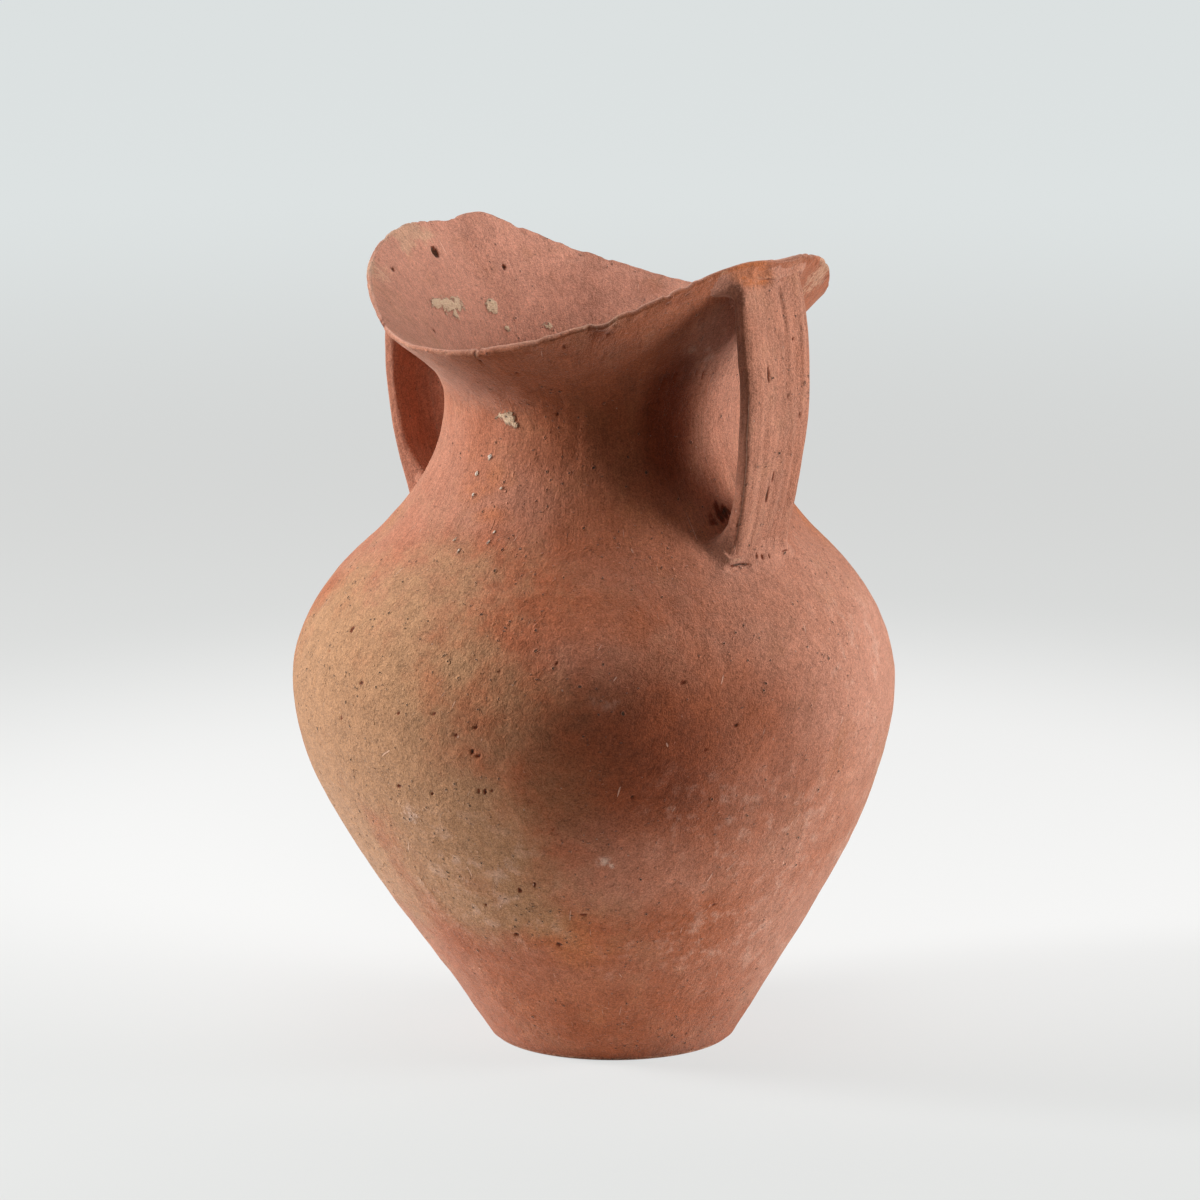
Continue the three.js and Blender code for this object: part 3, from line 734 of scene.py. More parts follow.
class JAR_OT_base_disc(bpy.types.Operator):
    """Makes the base: a disc with a worn lower edge, whose side follows the wall"""

    bl_idname = "jar.base_disc"
    bl_label = "Base Disc"

    def execute(self, context):
        form = JarForm(context.scene)
        rounding, thickness, neck = form.wall.foot_rounding, form.wall.base_thickness, form.wall.neck_height
        angles = round_angles(form)
        ways = rows_between(rounding / neck, thickness / neck, form.fine.row / neck)
        side = outer_sheet(form, ways, angles).inner_rows()
        edge = np.linspace(0, np.pi / 2, 6)[:-1]
        foot = form.body(np.array(0.0))[0] - rounding
        radii = np.concatenate([np.linspace(0.03, 1, 14)[:-1] * foot, foot + rounding * np.sin(edge)])
        heights = np.concatenate([np.zeros(13), rounding * (1 - np.cos(edge))])
        under = self.flat_sheet(form, radii, heights, angles)
        radii = np.linspace(1, 0.03, 24)[1:] * form.body(np.array(thickness))[0]
        top = self.flat_sheet(form, radii, np.full(23, thickness), angles)
        poles = (((0, 0, 0), (0, 0, -1)), ((0, 0, thickness), (0, 0, 1)))
        put_piece("base_disc", ClaySheet.stack(under, side, top), poles)
        return {"FINISHED"}

    @staticmethod
    def flat_sheet(form, radii, heights, angles):
        """Rings of the given radii and heights, with light scuffs that never reach below the foot."""
        radius, height, angle = np.broadcast_arrays(radii[:, None], heights[:, None], angles[None, :])
        points = form.place(radius, height, angle)
        strokes = points * (1.0, 1.0, 0.1)
        is_top = (height > 0.5 * form.wall.base_thickness).astype(float)
        points[..., 2] += 0.35 * MM * is_top * clay_noise(points, 0.02, 41)
        stain = wall_stain(points, angle, height, radius)
        skin = joined(0.0, 0.6 * (1 - is_top), 0.3 + 0.7 * is_top, 0.0)
        return ClaySheet(points, grid_normals(points), stain, skin, strokes)


class JAR_OT_wall_coils(bpy.types.Operator):
    """Makes the coils of the wall, each bevelled over the one below"""

    bl_idname = "jar.wall_coils"
    bl_label = "Wall Coils"

    def execute(self, context):
        form = JarForm(context.scene)
        joints = coil_joints()
        bevel = form.wall.coil_bevel
        for node, low, high in zip(WALL_COILS, joints, joints[1:]):
            inner_low = low if node == WALL_COILS[0] else low - bevel
            put_piece(node, wall_ring(form, low, high, inner_low, high - bevel, form.fine.inner_row))
        return {"FINISHED"}


class JAR_OT_neck_coil(bpy.types.Operator):
    """Makes the coil that draws in to the neck"""

    bl_idname = "jar.neck_coil"
    bl_label = "Neck Coil"

    def execute(self, context):
        form = JarForm(context.scene)
        low, high = coil_joints()[-1], form.wall.neck_height
        inner_low = low - form.wall.coil_bevel
        put_piece("neck_coil", wall_ring(form, low, high, inner_low, high, form.fine.neck_row))
        return {"FINISHED"}


class JAR_OT_mouth(bpy.types.Operator):
    """Makes the flaring mouth coil and the rim coil with its rounded, chipped lip"""

    bl_idname = "jar.mouth"
    bl_label = "Mouth and Rim"

    def execute(self, context):
        form = JarForm(context.scene)
        mouth = form.mouth
        joint = 2 - mouth.rim_width / (mouth.rise + mouth.saddle)
        end = 2 - mouth.lip_rounding / (mouth.rise + mouth.saddle)
        put_piece("mouth_coil", ClaySheet.stack(*self.both_sides(form, 1, joint)))
        outer, inner = self.both_sides(form, joint, end)
        put_piece("rim_coil", ClaySheet.stack(outer, self.lip(outer, inner, mouth), inner))
        return {"FINISHED"}

    @staticmethod
    def both_sides(form, low, high):
        """The outside of the mouth between two ways, upwards, and its inside, downwards."""
        angles = round_angles(form)
        step = form.fine.mouth_row / form.mouth.rise
        outer = outer_sheet(form, rows_between(low, high, step), angles)
        inner = inner_sheet(form, rows_between(high, low, step), angles)
        return outer.inner_rows(), inner.inner_rows()

    @staticmethod
    def lip(outer, inner, mouth):
        """The lip: half an oval from the top of the outside to the top of the inside, with small nicks."""
        outside, inside = outer.parts[0][-1], inner.parts[0][0]
        upwards = unit(outside - outer.parts[0][-2] + inside - inner.parts[0][1])
        turn = np.linspace(0, np.pi, 9)[1:-1, None, None]
        middle, half = (outside + inside) / 2, (outside - inside) / 2
        nicks = smooth(0.25, 0.75, clay_noise(middle, 0.007, 51))
        nicks = nicks + 0.6 * smooth(0.2, 0.8, clay_noise(middle, 0.003, 52))
        crown = mouth.lip_rounding * (1.0 - 0.75 * nicks)
        points = middle + half * np.cos(turn) + upwards * crown[:, None] * np.sin(turn)
        normals = unit(half) * np.cos(turn) + upwards * np.sin(turn)
        share = (1 - np.cos(turn)) / 2
        blends = (a[-1] * (1 - share) + b[0] * share for a, b in zip(outer.parts[2:], inner.parts[2:]))
        lip = ClaySheet(points, normals, *blends)
        patches = 0.3 * smooth(0.0, 0.6, clay_noise(middle, 0.02, 56))
        darken(lip.parts[2], 0.8 * smooth(0.8, 1.4, nicks) + patches)
        return lip


class StrapForm:
    """One strap handle in the plane of its direction, as a section carried along a cubic curve."""

    def __init__(self, form, side, direction):
        self.form, self.sizes = form, form.strap
        own = (getattr(form.strap, f"{side}_{size}") for size in ("bow", "root", "spread", "filling"))
        bow, root_rise, self.spread, self.filling = own
        self.cos, self.sin = round(np.cos(direction)), round(np.sin(direction))
        direction = np.array(direction)
        top = form.rim_height(direction) - self.sizes.top_drop
        root = form.wall.shoulder_height + root_rise
        top_radius = form.outside(form.way_at(top, direction), direction)[0]
        root_radius = form.body(np.array(root))[0]
        drawn = (top_radius + root_radius) / 2 + bow / 0.75
        heights = top + (root - top) * np.array([0, self.sizes.bow_upper, self.sizes.bow_lower, 1])
        self.poles = np.stack([np.array([top_radius, drawn, drawn, root_radius]), heights], -1)
        middles = self.line(np.linspace(0, 1, 200))[0]
        self.length = np.linalg.norm(np.diff(middles, axis=0), axis=-1).sum()

    def line(self, along):
        """The strap's middle line, cubic in its four poles, and its unit tangent."""
        t = np.clip(along, 0, 1)[..., None]
        a, b, c, d = self.poles
        s = 1 - t
        middle = a * s**3 + 3 * b * t * s * s + 3 * c * t * t * s + d * t**3
        tangent = 3 * (b - a) * s * s + 6 * (c - b) * t * s + 3 * (d - c) * t * t
        return middle, unit(tangent)

    def inwards(self, flat):
        """1 on the strap's inner face and 0 on its outer face."""
        return smooth(0.3, -0.5, flat / self.sizes.thickness)

    def point(self, along, flat, wide):
        """A point a share along the strap, flat out of its face and wide across it, also past its ends.

        One edge spreads: from nothing at the root it eases to the full spread half-way, then a little back.
        Towards the root the inner face eases inwards by the filling.
        """
        flat = flat - self.filling * smooth(0.8, 1.0, along) * self.inwards(flat)
        middle, tangent = self.line(along)
        middle = middle + tangent * ((along - np.clip(along, 0, 1)) * self.length)[..., None]
        distance = middle[..., 0] - tangent[..., 1] * flat
        height = middle[..., 1] + tangent[..., 0] * flat
        pressed = smooth(1.0, 0.5, along) * (1 - 0.35 * smooth(0.35, 0.0, along))
        near = np.minimum(self.cos * wide, 0) / (self.sizes.width / 2)
        wide = wide + self.cos * self.spread * pressed * near
        x = self.form.centre_x(height) + distance * self.cos - wide * self.sin
        return joined(x, distance * self.sin + wide * self.cos, height)

    def section(self, count, layer=0.0):
        """Evenly spaced points of a rounded oblong, grown by a layer, whose faces swell at their edges."""
        s = self.sizes
        edge = min(s.edge, s.thickness / 2)
        quarter = np.linspace(0, np.pi / 2, 12)
        turns = np.concatenate([quarter + n * np.pi / 2 for n in range(4)])
        signs = np.repeat(np.array([(1, 1), (-1, 1), (-1, -1), (1, -1)]), len(quarter), axis=0)
        corners = signs * (s.thickness / 2 - edge, s.width / 2 - edge)
        outline = corners + (edge + layer) * np.stack([np.cos(turns), np.sin(turns)], -1)
        outline = np.concatenate([outline, outline[:1]])
        along = np.concatenate([[0], np.cumsum(np.linalg.norm(np.diff(outline, axis=0), axis=-1))])
        places = np.linspace(0, along[-1], count, endpoint=False)
        flat, wide = (np.interp(places, along, outline[:, n]) for n in (0, 1))
        swell = s.bead * np.exp(-(((np.abs(wide) - 0.36 * s.width) / (0.09 * s.width)) ** 2))
        return flat + np.sign(flat) * swell, wide

    def meets_wall(self, flat, wide, at_top):
        """Share along each long side where it meets the wall, by halving the step 40 times."""
        in_wall = np.full_like(flat, -0.5 if at_top else 1.5)
        in_air = np.full_like(flat, 0.5)
        for _ in range(40):
            half = (in_wall + in_air) / 2
            outside = self.form.stand_off(self.point(half, flat, wide)) > 0
            in_air, in_wall = np.where(outside, half, in_air), np.where(outside, in_wall, half)
        return in_air


def both_straps(form):
    """Names and forms of the right and the left strap."""
    sides = ("right", 0.0), ("left", np.pi)
    return [(f"{side}_handle", StrapForm(form, side, direction)) for side, direction in sides]


def strap_finish(form, points, strokes, luting, edge_wear):
    """Relief along the normals, then stains and skin, for the straps and the clay round their ends."""
    nicks = np.zeros(points.shape[:-1])
    for x, y, z, half_width, half_height, deep in STRAP_NICKS:
        gap = points - np.array([x, y, z]) * MM
        across = np.hypot(gap[..., 0] * 0.25, gap[..., 1]) / (half_width * MM)
        nicks = np.maximum(nicks, deep * MM * bell(np.hypot(across, gap[..., 2] / (half_height * MM))))
    tooled = 0.5 * clay_noise(points * (1, 1, 1.6), 0.006, 61) + 0.25 * clay_noise(points, 0.0028, 62)
    drawn = layered(strokes, (0.24, 0.0024, 69), (0.16, 0.0013, 70))
    relief = hand_relief(points, strokes) - nicks + MM * (luting * tooled + (1 - luting) * drawn)
    points = points + grid_normals(points) * relief[..., None]
    angle, radius, _, distance = form.beside(points)
    stain = wall_stain(points, angle, points[..., 2], distance)
    stain[..., [1, 3]] *= smooth(0.013, 0.004, distance - radius)[..., None]
    # Painted shade in the straps' nicks and slits, darkened towards black.
    darken(stain, SHADE_IN_NICKS * smooth(0.2 * MM, 0.7 * MM, nicks))
    wear = edge_wear * (0.6 + 0.4 * clay_noise(points, 0.012, 64))
    skin = joined(0.0, wear, 0.52 + 0.25 * luting, luting)
    return ClaySheet(points, grid_normals(points), stain, skin, strokes)


class JAR_OT_straps(bpy.types.Operator):
    """Makes the two strap handles, each drawn out a little unevenly and set into the wall at both ends"""

    bl_idname = "jar.straps"
    bl_label = "Strap Handles"

    def execute(self, context):
        form = JarForm(context.scene)
        for node, strap in both_straps(form):
            flat, wide = strap.section(STRAP_ROUND)
            sink = SINK / strap.length
            top = strap.meets_wall(flat, wide, True) - sink
            root = strap.meets_wall(flat, wide, False) + sink
            along = root + (top - root) * np.linspace(0, 1, STRAP_ROWS)[:, None]
            points = strap.point(along, flat, wide)
            off_middle = np.abs(wide) / form.strap.width
            uneven = MM * layered(points, (1.6, 0.03, 65), (0.7, 0.011, 67)) * off_middle
            points[..., 1] += uneven * np.sign(points[..., 1])
            strokes = joined(flat, wide, along * strap.length * 0.05)
            side = smooth(0.44, 0.49, off_middle) + 0 * along
            sheet = strap_finish(form, points, strokes, 0 * along, 0.1 * side)
            # Painted shade: the strap's narrow long sides are darkened, as if turned away from the lamps.
            darken(sheet.parts[2], 0.45 * side)
            ends = sheet.parts[0][[0, -1]].mean(1)
            poles = ((ends[0], (0, 0, -1)), (ends[1], (0, 0, 1)))
            put_piece(node, sheet, poles)
        return {"FINISHED"}


class JAR_OT_luting(bpy.types.Operator):
    """Makes the soft clay worked round both ends of both straps"""

    bl_idname = "jar.luting"
    bl_label = "Luting Clay"

    def execute(self, context):
        form = JarForm(context.scene)
        for node, strap in both_straps(form):
            for end, at_top in (("top", True), ("root", False)):
                put_piece(f"{node}_{end}_luting", self.fillet(form, strap, at_top))
        return {"FINISHED"}

    @staticmethod
    def fillet(form, strap, at_top):
        """A hollow wedge round the strap's end: a quadratic from strap to wall drawn towards their corner.

        It spreads further below the strap than beside it, and its feather edges sink just under the clay.
        """
        sizes = form.strap
        flat, wide = strap.section(LUTING_ROUND)
        meets = strap.meets_wall(flat, wide, at_top)
        corner = strap.point(meets, flat, wide)
        away = (1 if at_top else -1) * sizes.luting_on_strap / strap.length
        on_strap = strap.point(meets + away, *strap.section(LUTING_ROUND, -FEATHER))
        spread = unit(corner - corner.mean(0))
        wider = 0.4 if at_top else 0.35 * smooth(0.2, -0.6, spread[..., 2])
        reach = sizes.luting_on_wall * (1 + 0.2 * clay_noise(corner, 0.011, 66) + wider)
        edge = corner + spread * reach[:, None]
        angle = form.beside(edge)[0]
        edge[..., 2] = np.minimum(edge[..., 2], form.rim_height(angle) - 0.4 * MM)
        t = (np.arange(-1, LUTING_ROWS + 1) / (LUTING_ROWS - 1))[:, None, None]
        pull, on_edge = form.on_wall(corner, 0.0), form.on_wall(edge, -FEATHER)
        face = on_strap * (1 - t) ** 2 + 2 * pull * t * (1 - t) + on_edge * t**2
        t = t[..., 0]
        least = 0.1 * MM * smooth(1.0, 0.7, t) - FEATHER * smooth(0.7, 1.0, t)
        face = form.pushed_out(face, np.maximum(least - form.stand_off(face), 0))
        swell = np.sin(np.pi * np.clip(t, 0, 1)) ** 0.5 + 0 * wide
        ledge = np.exp(-(((t - 0.5) / 0.09) ** 2)) - 0.8 * np.exp(-(((t - 0.36) / 0.06) ** 2))
        ledge = ledge * smooth(-0.3, 0.5, clay_noise(corner, 0.014, 68)) * (1 - strap.inwards(flat))
        face = form.pushed_out(face, 0.8 * MM * ledge)
        upwards = 1 if at_top else -1
        face, swell, ledge = face[::upwards], swell[::upwards], ledge[::upwards]
        wear = np.clip(ledge, 0, 1)
        finished = strap_finish(form, face, face * (1.0, 1.0, 0.35), swell, wear).inner_rows()
        hidden = finished.cut(slice(0, 1))
        hidden.parts[0] = (form.on_wall(corner, -SINK) * 0.7 + 0.3 * corner.mean(0))[None]
        return ClaySheet.stack(finished, hidden)


class NodeBench:
    """Short calls that add shader nodes to one emptied node tree and link them."""

    def __init__(self, tree):
        self.tree = tree
        tree.nodes.clear()

    def add(self, kind, links=(), **values):
        node = self.tree.nodes.new(kind)
        for key, value in values.items():
            setattr(node, key, value)
        for socket, source in dict(links).items():
            if isinstance(source, bpy.types.NodeSocket):
                self.tree.links.new(source, node.inputs[socket])
            else:
                node.inputs[socket].default_value = source
        return node

    def noise(self, vector, scale, detail=4.0, roughness=0.6):
        links = {"Vector": vector, "Scale": scale, "Detail": detail, "Roughness": roughness}
        return self.add("ShaderNodeTexNoise", links).outputs["Fac"]

    def math(self, operation, a, b, clamp=False):
        return self.add("ShaderNodeMath", {0: a, 1: b}, operation=operation, use_clamp=clamp).outputs[0]

    def plus(self, total, *others):
        for other in others:
            total = self.math("ADD", total, other)
        return total

    def minus(self, a, b):
        return self.math("SUBTRACT", a, b)

    def times(self, a, b, clamp=False):
        return self.math("MULTIPLY", a, b, clamp)

    def vector(self, operation, a, b, output=0):
        return self.add("ShaderNodeVectorMath", {0: a, 1: b}, operation=operation).outputs[output]

    def ease(self, value, low, high, to_low=0.0, to_high=1.0):
        links = {"Value": value, "From Min": low, "From Max": high, "To Min": to_low, "To Max": to_high}
        return self.add("ShaderNodeMapRange", links, interpolation_type="SMOOTHSTEP").outputs[0]

    def swing(self, noise, reach, low=0.3, high=0.7):
        """Noise eased to run from minus to plus the reach."""
        return self.ease(noise, low, high, -reach, reach)

    def blend(self, factor, a, b, kind="MIX"):
        """A colour between two others, each a socket or three numbers."""
        a, b = (c if isinstance(c, bpy.types.NodeSocket) else (*c, 1.0) for c in (a, b))
        node = self.add("ShaderNodeMix", {0: factor, 6: a, 7: b}, data_type="RGBA", blend_type=kind)
        return node.outputs[2]

    def attribute(self, name):
        return self.add("ShaderNodeAttribute", attribute_name=name).outputs

    def place(self):
        return self.add("ShaderNodeTexCoord").outputs["Object"]

    def split(self, colour):
        return self.add("ShaderNodeSeparateColor", {"Color": colour}).outputs

    def seen(self):
        """1 for what the camera sees, straight or in gloss or glass, and 0 for light thrown on the jar."""
        path = self.add("ShaderNodeLightPath").outputs
        mirrored = self.math("MAXIMUM", path["Is Glossy Ray"], path["Is Transmission Ray"])
        return self.math("MAXIMUM", path["Is Camera Ray"], mirrored)

    def warp(self, vector, scale, amount):
        """A vector pushed about by noise, so that round spots on it come out ragged."""
        noise = self.add("ShaderNodeTexNoise", {"Vector": vector, "Scale": scale, "Detail": 2.0})
        push = self.vector("SUBTRACT", noise.outputs["Color"], (0.5, 0.5, 0.5))
        scaled = self.add("ShaderNodeVectorMath", {0: push, "Scale": amount}, operation="SCALE")
        return self.vector("ADD", vector, scaled.outputs[0])

    def dots(self, vector, scale, share, size):
        """Round spots in a share of Voronoi cells: 1 in a spot, below 0 on its rim, 0 outside."""
        cells = self.add("ShaderNodeTexVoronoi", {"Vector": vector, "Scale": scale})
        chance = self.split(cells.outputs["Color"])
        chosen = self.math("LESS_THAN", chance[0], share)
        reach = self.ease(chance[1], 0.0, 1.0, size * 0.35, size)
        away = self.math("DIVIDE", cells.outputs["Distance"], reach)
        inside, rim = self.ease(away, 1.0, 0.7), self.ease(away, 1.9, 1.1, 0.0, 0.35)
        spot = self.minus(inside, self.times(rim, self.minus(1.0, inside)))
        return self.times(spot, chosen)

    def finish(self, kind, surface):
        self.add(kind, {"Surface": surface.outputs[0]})


def new_material(name):
    material = bpy.data.materials.new(name)
    material.use_nodes = True
    return material


def scratches_on(bench, place, strokes):
    """Fine scratches along the strokes, and half as many slanting across them, in patches."""
    drawn = bench.vector("MULTIPLY", strokes, (1.0, 1.0, 0.16))
    patches = bench.ease(bench.noise(place, 38.0, 3.0), 0.40, 0.62, 0.08, 0.65)
    lengthwise = bench.dots(bench.warp(drawn, 500.0, 0.0012), 420.0, patches, 0.14)
    run = bench.add("ShaderNodeSeparateXYZ", {0: strokes}).outputs[2]
    slant = bench.add("ShaderNodeCombineXYZ", {0: bench.times(run, 0.5), 1: bench.times(run, 0.47)})
    crossing = bench.vector("ADD", drawn, slant.outputs[0])
    crosswise = bench.dots(bench.warp(crossing, 400.0, 0.0014), 330.0, bench.times(patches, 0.5), 0.12)
    return bench.plus(lengthwise, crosswise)


def holes_in(bench, place, loose, strokes, buff, calm):
    """Pits, level dashes and slits along the strokes, more in the fire cloud and fewer where calm."""
    crowd = bench.plus(bench.noise(place, 30.0), bench.times(buff, 0.07))
    crowd = bench.ease(bench.minus(crowd, bench.times(calm, 0.10)), 0.42, 0.66, 0.04, 0.55)
    pits = bench.dots(loose, 190.0, crowd, 0.13)
    small_pits = bench.dots(loose, 430.0, bench.times(crowd, 0.6), 0.20)
    slits = bench.dots(bench.warp(strokes, 300.0, 0.0016), 250.0, 0.10, 0.10)
    level = bench.vector("MULTIPLY", loose, (1.0, 1.0, 2.4))
    dashes = bench.dots(level, 330.0, bench.times(crowd, 0.4), 0.17)
    return bench.plus(pits, small_pits, dashes, bench.times(slits, 0.8))


def fired_clay():
    """The jar's one clay: red earthenware with clouds, smoke, blooms, haze, crust, wear, pits and specks,
    and painted light and shade.

    Broad stains come from the stain and skin attributes, and wiping marks follow the strokes attribute.
    Finer mottling, pits and specks are noise in object space. The same noises raise the bump, and the
    colour is painted darker in their hollows and in the pits and lighter on the pit rims, as painted shade
    and highlights.
    """
    found = bpy.data.materials.get("fired_earthenware")
    if found:
        return found
    colours = bpy.context.scene.jar_colours
    material = new_material("fired_earthenware")
    bench = NodeBench(material.node_tree)
    noise, ease, swing, blend = bench.noise, bench.ease, bench.swing, bench.blend
    plus, times = bench.plus, bench.times
    place = bench.place()
    stain, skin = bench.attribute("stain"), bench.attribute("skin")
    strokes = bench.attribute("strokes")["Vector"]
    buff, smoke_and_shade, orange = bench.split(stain["Color"])
    crust, wear, airing_and_light = bench.split(skin["Color"])
    haze, luting = stain["Alpha"], skin["Alpha"]
    inner = ease(airing_and_light, 0.65, 0.95)

    broad = noise(place, 14.0)
    mottle = noise(place, 55.0, 6.0, 0.68)
    lumps = noise(place, 130.0, 7.0, 0.62)
    grit = noise(place, 640.0, 4.0, 0.65)
    grain = noise(place, 1700.0, 2.0)
    wide_strokes = noise(strokes, 210.0)
    fine_strokes = noise(strokes, 760.0, 3.0)
    wiped = ease(noise(place, 24.0, 3.0), 0.42, 0.60, 0.2, 1.0)
    uneven = swing(mottle, 0.25)
    loose = bench.warp(place, 300.0, 0.0022)
    scratches = scratches_on(bench, place, strokes)
    holes = holes_in(bench, place, loose, strokes, buff, plus(inner, smoke_and_shade))
    specks = bench.dots(loose, 300.0, 0.12, 0.13)

    # Pinker where the clay was aired and, as painted light, where the side lamps fall; the same channel
    # marks the inside of the mouth.
    airy_and_lit = plus(airing_and_light, swing(broad, 0.08, 0.35, 0.65))
    airy_and_lit = plus(airy_and_lit, ease(mottle, 0.35, 0.70, -0.08, 0.10))
    clay = blend(ease(airy_and_lit, -0.1, 0.7), colours.red_clay, colours.pink_and_lit_clay)
    clay = blend(ease(airing_and_light, 0.6, 1.0, 0.0, 0.8), clay, colours.inside_pink)
    clay = blend(ease(plus(orange, uneven), 0.1, 1.0, 0.0, 0.85), clay, colours.orange_clay)
    clay = blend(ease(plus(buff, uneven), 0.0, 1.0, 0.0, 0.95), clay, colours.buff_clay)
    clay = blend(times(luting, 0.35), clay, colours.pink_and_lit_clay)
    # Smoke, and painted shade: the right strap's shadow on the neck and the dark middle of the belly
    # between the lamps.
    smoky_and_shaded = plus(smoke_and_shade, times(uneven, 0.5))
    clay = blend(ease(smoky_and_shaded, 0.05, 1.2, 0.0, 0.93), clay, colours.smoke_and_shade_brown)
    # Soot, and near-black painted shade where the channel of smoke and shade runs highest: in pits, nicks
    # and the neck's shadow band.
    sooty = plus(smoke_and_shade, swing(grit, 0.4, 0.35, 0.65))
    clay = blend(ease(sooty, 1.4, 1.9, 0.0, 0.7), clay, colours.soot_and_shade_black)
    # Chalky haze; in two places it is painted light, on the neck under the right loop and as a painted
    # sheen low on the right.
    chalk = times(haze, ease(lumps, 0.50, 0.68, 0.0, 0.55), clamp=True)
    smear = ease(plus(haze, swing(grit, 0.3, 0.35, 0.65)), 1.0, 1.7, 0.0, 0.75)
    clay = blend(bench.math("MAXIMUM", chalk, smear), clay, colours.haze_white)
    clay = blend(times(scratches, 0.45, clamp=True), clay, colours.haze_white)
    rubbed = ease(plus(wear, swing(grit, 0.35)), 0.35, 1.05, 0.0, 0.8)
    clay = blend(rubbed, clay, colours.worn_tan)

    # Painted shade and highlight: darker in the hollows of the noises that also raise the bump, lighter on
    # pale scratches and, as painted highlights, on the rims of the pits; partly also the clay's own
    # speckle.
    soft = bench.minus(1.0, times(inner, 0.15))
    speckle = plus(ease(grit, 0.35, 0.65, -0.12, 0.10), swing(grain, 0.24))
    shade = plus(
        ease(lumps, 0.35, 0.65, 0.93, 1.05),
        times(speckle, soft),
        times(scratches, 0.35),
        times(holes, -0.6, clamp=True),
        ease(wide_strokes, 0.3, 0.7, -0.05, 0.04),
        ease(fine_strokes, 0.3, 0.7, -0.10, 0.09),
    )
    relief_shade = bench.add("ShaderNodeCombineColor", {"Red": shade, "Green": shade, "Blue": shade}).outputs[0]
    clay = blend(1.0, clay, relief_shade, "MULTIPLY")
    limed = ease(plus(crust, swing(grit, 0.26)), 0.36, 0.50)
    limed = times(limed, ease(noise(place, 1500.0, 2.0), 0.3, 0.6, 0.6, 1.0))
    lime = blend(ease(haze, 1.0, 2.0), colours.crust_cream, colours.lime_white)
    clay = blend(limed, clay, lime)
    # Painted shade: the pits, dashes and slits of the bump are darkened nearly black.
    clay = blend(times(holes, 0.85, clamp=True), clay, colours.soot_and_shade_black)
    clay = blend(times(specks, 0.55, clamp=True), clay, colours.haze_white)

    waves = {"Strength": 1.0, "Distance": 0.0011, "Height": times(lumps, soft)}
    swell = bench.add("ShaderNodeBump", waves).outputs[0]
    combed = times(plus(fine_strokes, wide_strokes), 0.35)
    height = plus(
        times(grit, 0.45),
        times(grain, 0.45),
        times(combed, wiped),
        times(scratches, -0.25),
        times(holes, -1.6),
        times(specks, 0.4),
        limed,
    )
    marks = {"Strength": 1.0, "Distance": 0.0007, "Height": height, "Normal": swell}
    rough = ease(wide_strokes, 0.3, 0.7, 0.86, 0.70)
    finish = {
        "Base Color": clay,
        "Roughness": rough,
        "Normal": bench.add("ShaderNodeBump", marks).outputs[0],
        "Specular IOR Level": 0.03,
        "Sheen Weight": 0.3,
        "Sheen Roughness": 0.5,
        "Sheen Tint": (1.0, 0.82, 0.72, 1.0),
    }
    bench.finish("ShaderNodeOutputMaterial", bench.add("ShaderNodeBsdfPrincipled", finish))
    return material


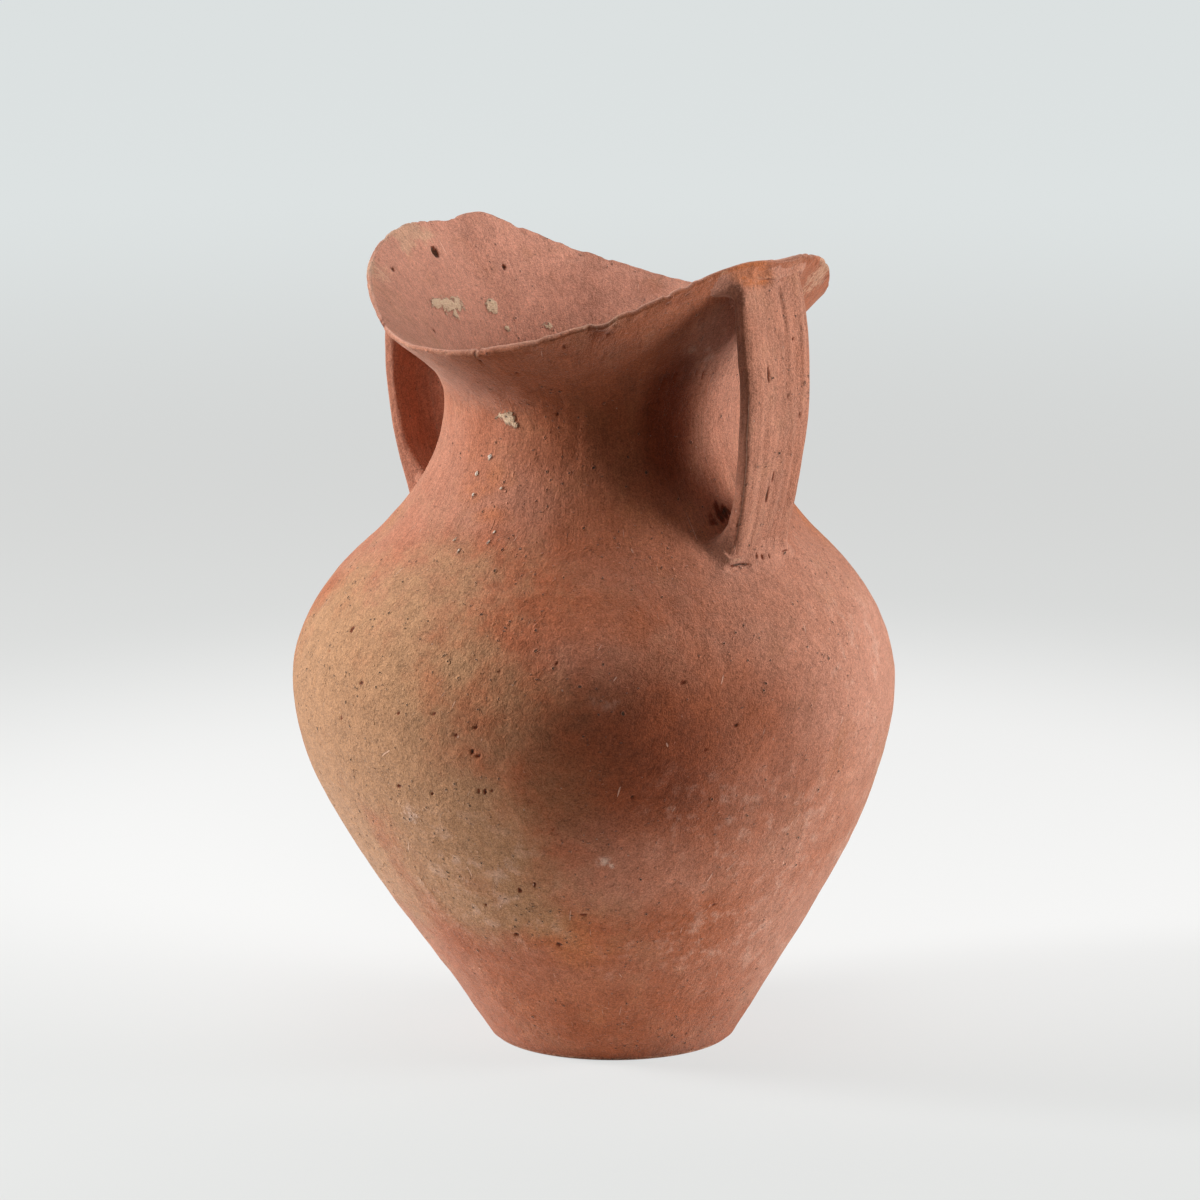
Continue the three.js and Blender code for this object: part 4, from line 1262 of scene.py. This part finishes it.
class JAR_OT_studio(bpy.types.Operator):
    """Makes the pale floor, the lamps, the even light all round and the camera"""

    bl_idname = "jar.studio"
    bl_label = "Studio"

    def execute(self, context):
        scene = context.scene
        studio = scene.jar_studio
        right = Vector((np.cos(studio.azimuth), np.sin(studio.azimuth), 0))
        ahead = Vector((np.sin(studio.azimuth), -np.cos(studio.azimuth), 0))
        upwards = Vector((0, 0, 1))
        back = ahead * np.cos(studio.elevation) + upwards * np.sin(studio.elevation)
        self.camera(scene, studio, right, back)
        middle = upwards * studio.aim_height
        left_place = middle + upwards * studio.left_rise - right * studio.left_off
        right_place = middle + upwards * studio.right_rise + right * studio.right_off
        right_place = right_place + ahead * studio.right_ahead
        top_place = middle + upwards * studio.top_rise
        for name, place, width, height, watts in (
            ("left_lamp", left_place, studio.left_width, studio.lamp_height, studio.left_watts),
            ("right_lamp", right_place, studio.right_width, studio.lamp_height, studio.right_watts),
            ("top_lamp", top_place, studio.top_width, studio.top_width, studio.top_watts),
        ):
            self.lamp(scene, name, place, (width, height), watts, middle)
        self.world(scene, studio)
        self.floor(scene, right * studio.bright_aside - ahead * studio.bright_behind)
        scene.view_settings.view_transform = "Standard"
        return {"FINISHED"}

    @staticmethod
    def camera(scene, studio, right, back):
        data = bpy.data.cameras.new("photo_camera")
        data.sensor_width = 36.0
        data.lens = studio.lens
        data.clip_end = 50.0
        camera = bpy.data.objects.new("photo_camera", data)
        target = Vector((0, 0, studio.target_height)) - right * studio.target_shift
        camera.location = target + back * studio.distance
        camera.rotation_euler = (-back).to_track_quat("-Z", "Y").to_euler()
        scene.collection.objects.link(camera)
        scene.camera = camera

    @staticmethod
    def lamp(scene, name, place, size, watts, target):
        data = bpy.data.lights.new(name, "AREA")
        data.shape = "RECTANGLE"
        data.size, data.size_y = size
        data.energy = watts
        lamp = bpy.data.objects.new(name, data)
        lamp.location = place
        lamp.rotation_euler = (target - place).to_track_quat("-Z", "Y").to_euler()
        scene.collection.objects.link(lamp)

    @staticmethod
    def world(scene, studio):
        """Even light on the jar, and a pale grey where the camera looks past the floor."""
        world = bpy.data.worlds.new("studio_air")
        world.use_nodes = True
        bench = NodeBench(world.node_tree)
        lit = bench.add("ShaderNodeBackground", {"Color": (1.0, 0.82, 0.70, 1.0), "Strength": studio.fill})
        pale = bench.add("ShaderNodeBackground", {"Color": (0.708, 0.755, 0.760, 1.0), "Strength": 1.0})
        mix = bench.add("ShaderNodeMixShader", {0: bench.seen(), 1: lit.outputs[0], 2: pale.outputs[0]})
        bench.finish("ShaderNodeOutputWorld", mix)
        scene.world = world

    @staticmethod
    def floor(scene, brightest):
        """A wide disc, partly lit by the lamps and partly a painted glow seen by the camera and in gloss: a
        painted pool of light, white behind the jar and grey further out.
        """
        angles = np.linspace(0, 2 * np.pi, 96, endpoint=False)
        radii = np.array([0.2, 0.5, 1.0, 2.0, 4.0, 9.0])[:, None]
        rings = joined(radii * np.cos(angles), radii * np.sin(angles), 0.0).reshape(-1, 3)
        faces = [list(range(len(angles)))] + ring_quads(len(radii), len(angles), False)[:, ::-1].tolist()
        mesh = bpy.data.meshes.new("studio_floor")
        mesh.from_pydata(rings.tolist(), [], faces)
        floor = bpy.data.objects.new("studio_floor", mesh)
        material = new_material("pale_paper")
        bench = NodeBench(material.node_tree)
        place, seen = bench.place(), bench.seen()
        far = bench.vector("DISTANCE", place, brightest, "Value")
        tone = bench.blend(bench.ease(far, 0.22, 0.58), (0.872, 0.877, 0.872), (0.735, 0.748, 0.742))
        tone = bench.blend(bench.ease(far, 0.75, 2.3), tone, (0.862, 0.912, 0.916))
        beside = bench.vector("DISTANCE", place, (0.0, 0.0, 0.0), "Value")
        thrown = bench.blend(bench.ease(beside, 0.15, 0.65), (0.85, 0.83, 0.80), (0.10, 0.10, 0.10))
        paper = bench.add("ShaderNodeBsdfDiffuse", {"Color": bench.blend(seen, thrown, tone)})
        # Painted light: the floor's glow, brightest behind the jar.
        painted_glow = bench.add("ShaderNodeEmission", {"Color": tone, "Strength": 1.0})
        shares = {0: bench.times(seen, 0.8), 1: paper.outputs[0], 2: painted_glow.outputs[0]}
        bench.finish("ShaderNodeOutputMaterial", bench.add("ShaderNodeMixShader", shares))
        mesh.materials.append(material)
        scene.collection.objects.link(floor)


class JAR_PT_panel(bpy.types.Panel):
    """Lists the jar's sizes, colours and pieces"""

    bl_idname = "JAR_PT_panel"
    bl_label = "Pottery Jar"
    bl_space_type = "VIEW_3D"
    bl_region_type = "UI"
    bl_category = "Pottery Jar"

    def draw(self, context):
        for label, group in PROPERTY_GROUPS.items():
            box = self.layout.box()
            box.label(text=group.__doc__.strip("."))
            settings = getattr(context.scene, label)
            for name in group.__annotations__:
                box.prop(settings, name)
        for operator in OPERATORS:
            self.layout.operator(operator.bl_idname)


PROPERTY_GROUPS = {
    "jar_wall": JarWallSizes,
    "jar_mouth": JarMouthSizes,
    "jar_strap": JarStrapSizes,
    "jar_colours": JarClayColours,
    "jar_studio": JarStudio,
    "jar_fineness": JarFineness,
}
OPERATORS = (
    JAR_OT_base_disc,
    JAR_OT_wall_coils,
    JAR_OT_neck_coil,
    JAR_OT_mouth,
    JAR_OT_straps,
    JAR_OT_luting,
    JAR_OT_studio,
)
CLASSES = (*PROPERTY_GROUPS.values(), *OPERATORS, JAR_PT_panel)


def register():
    for cls in CLASSES:
        bpy.utils.register_class(cls)
    for label, group in PROPERTY_GROUPS.items():
        setattr(bpy.types.Scene, label, PointerProperty(type=group))


def unregister():
    for label in PROPERTY_GROUPS:
        delattr(bpy.types.Scene, label)
    for cls in reversed(CLASSES):
        bpy.utils.unregister_class(cls)


def main():
    register()
    bpy.ops.jar.base_disc()
    bpy.ops.jar.wall_coils()
    bpy.ops.jar.neck_coil()
    bpy.ops.jar.mouth()
    bpy.ops.jar.straps()
    bpy.ops.jar.luting()
    bpy.ops.jar.studio()


if __name__ == "__main__":
    main()
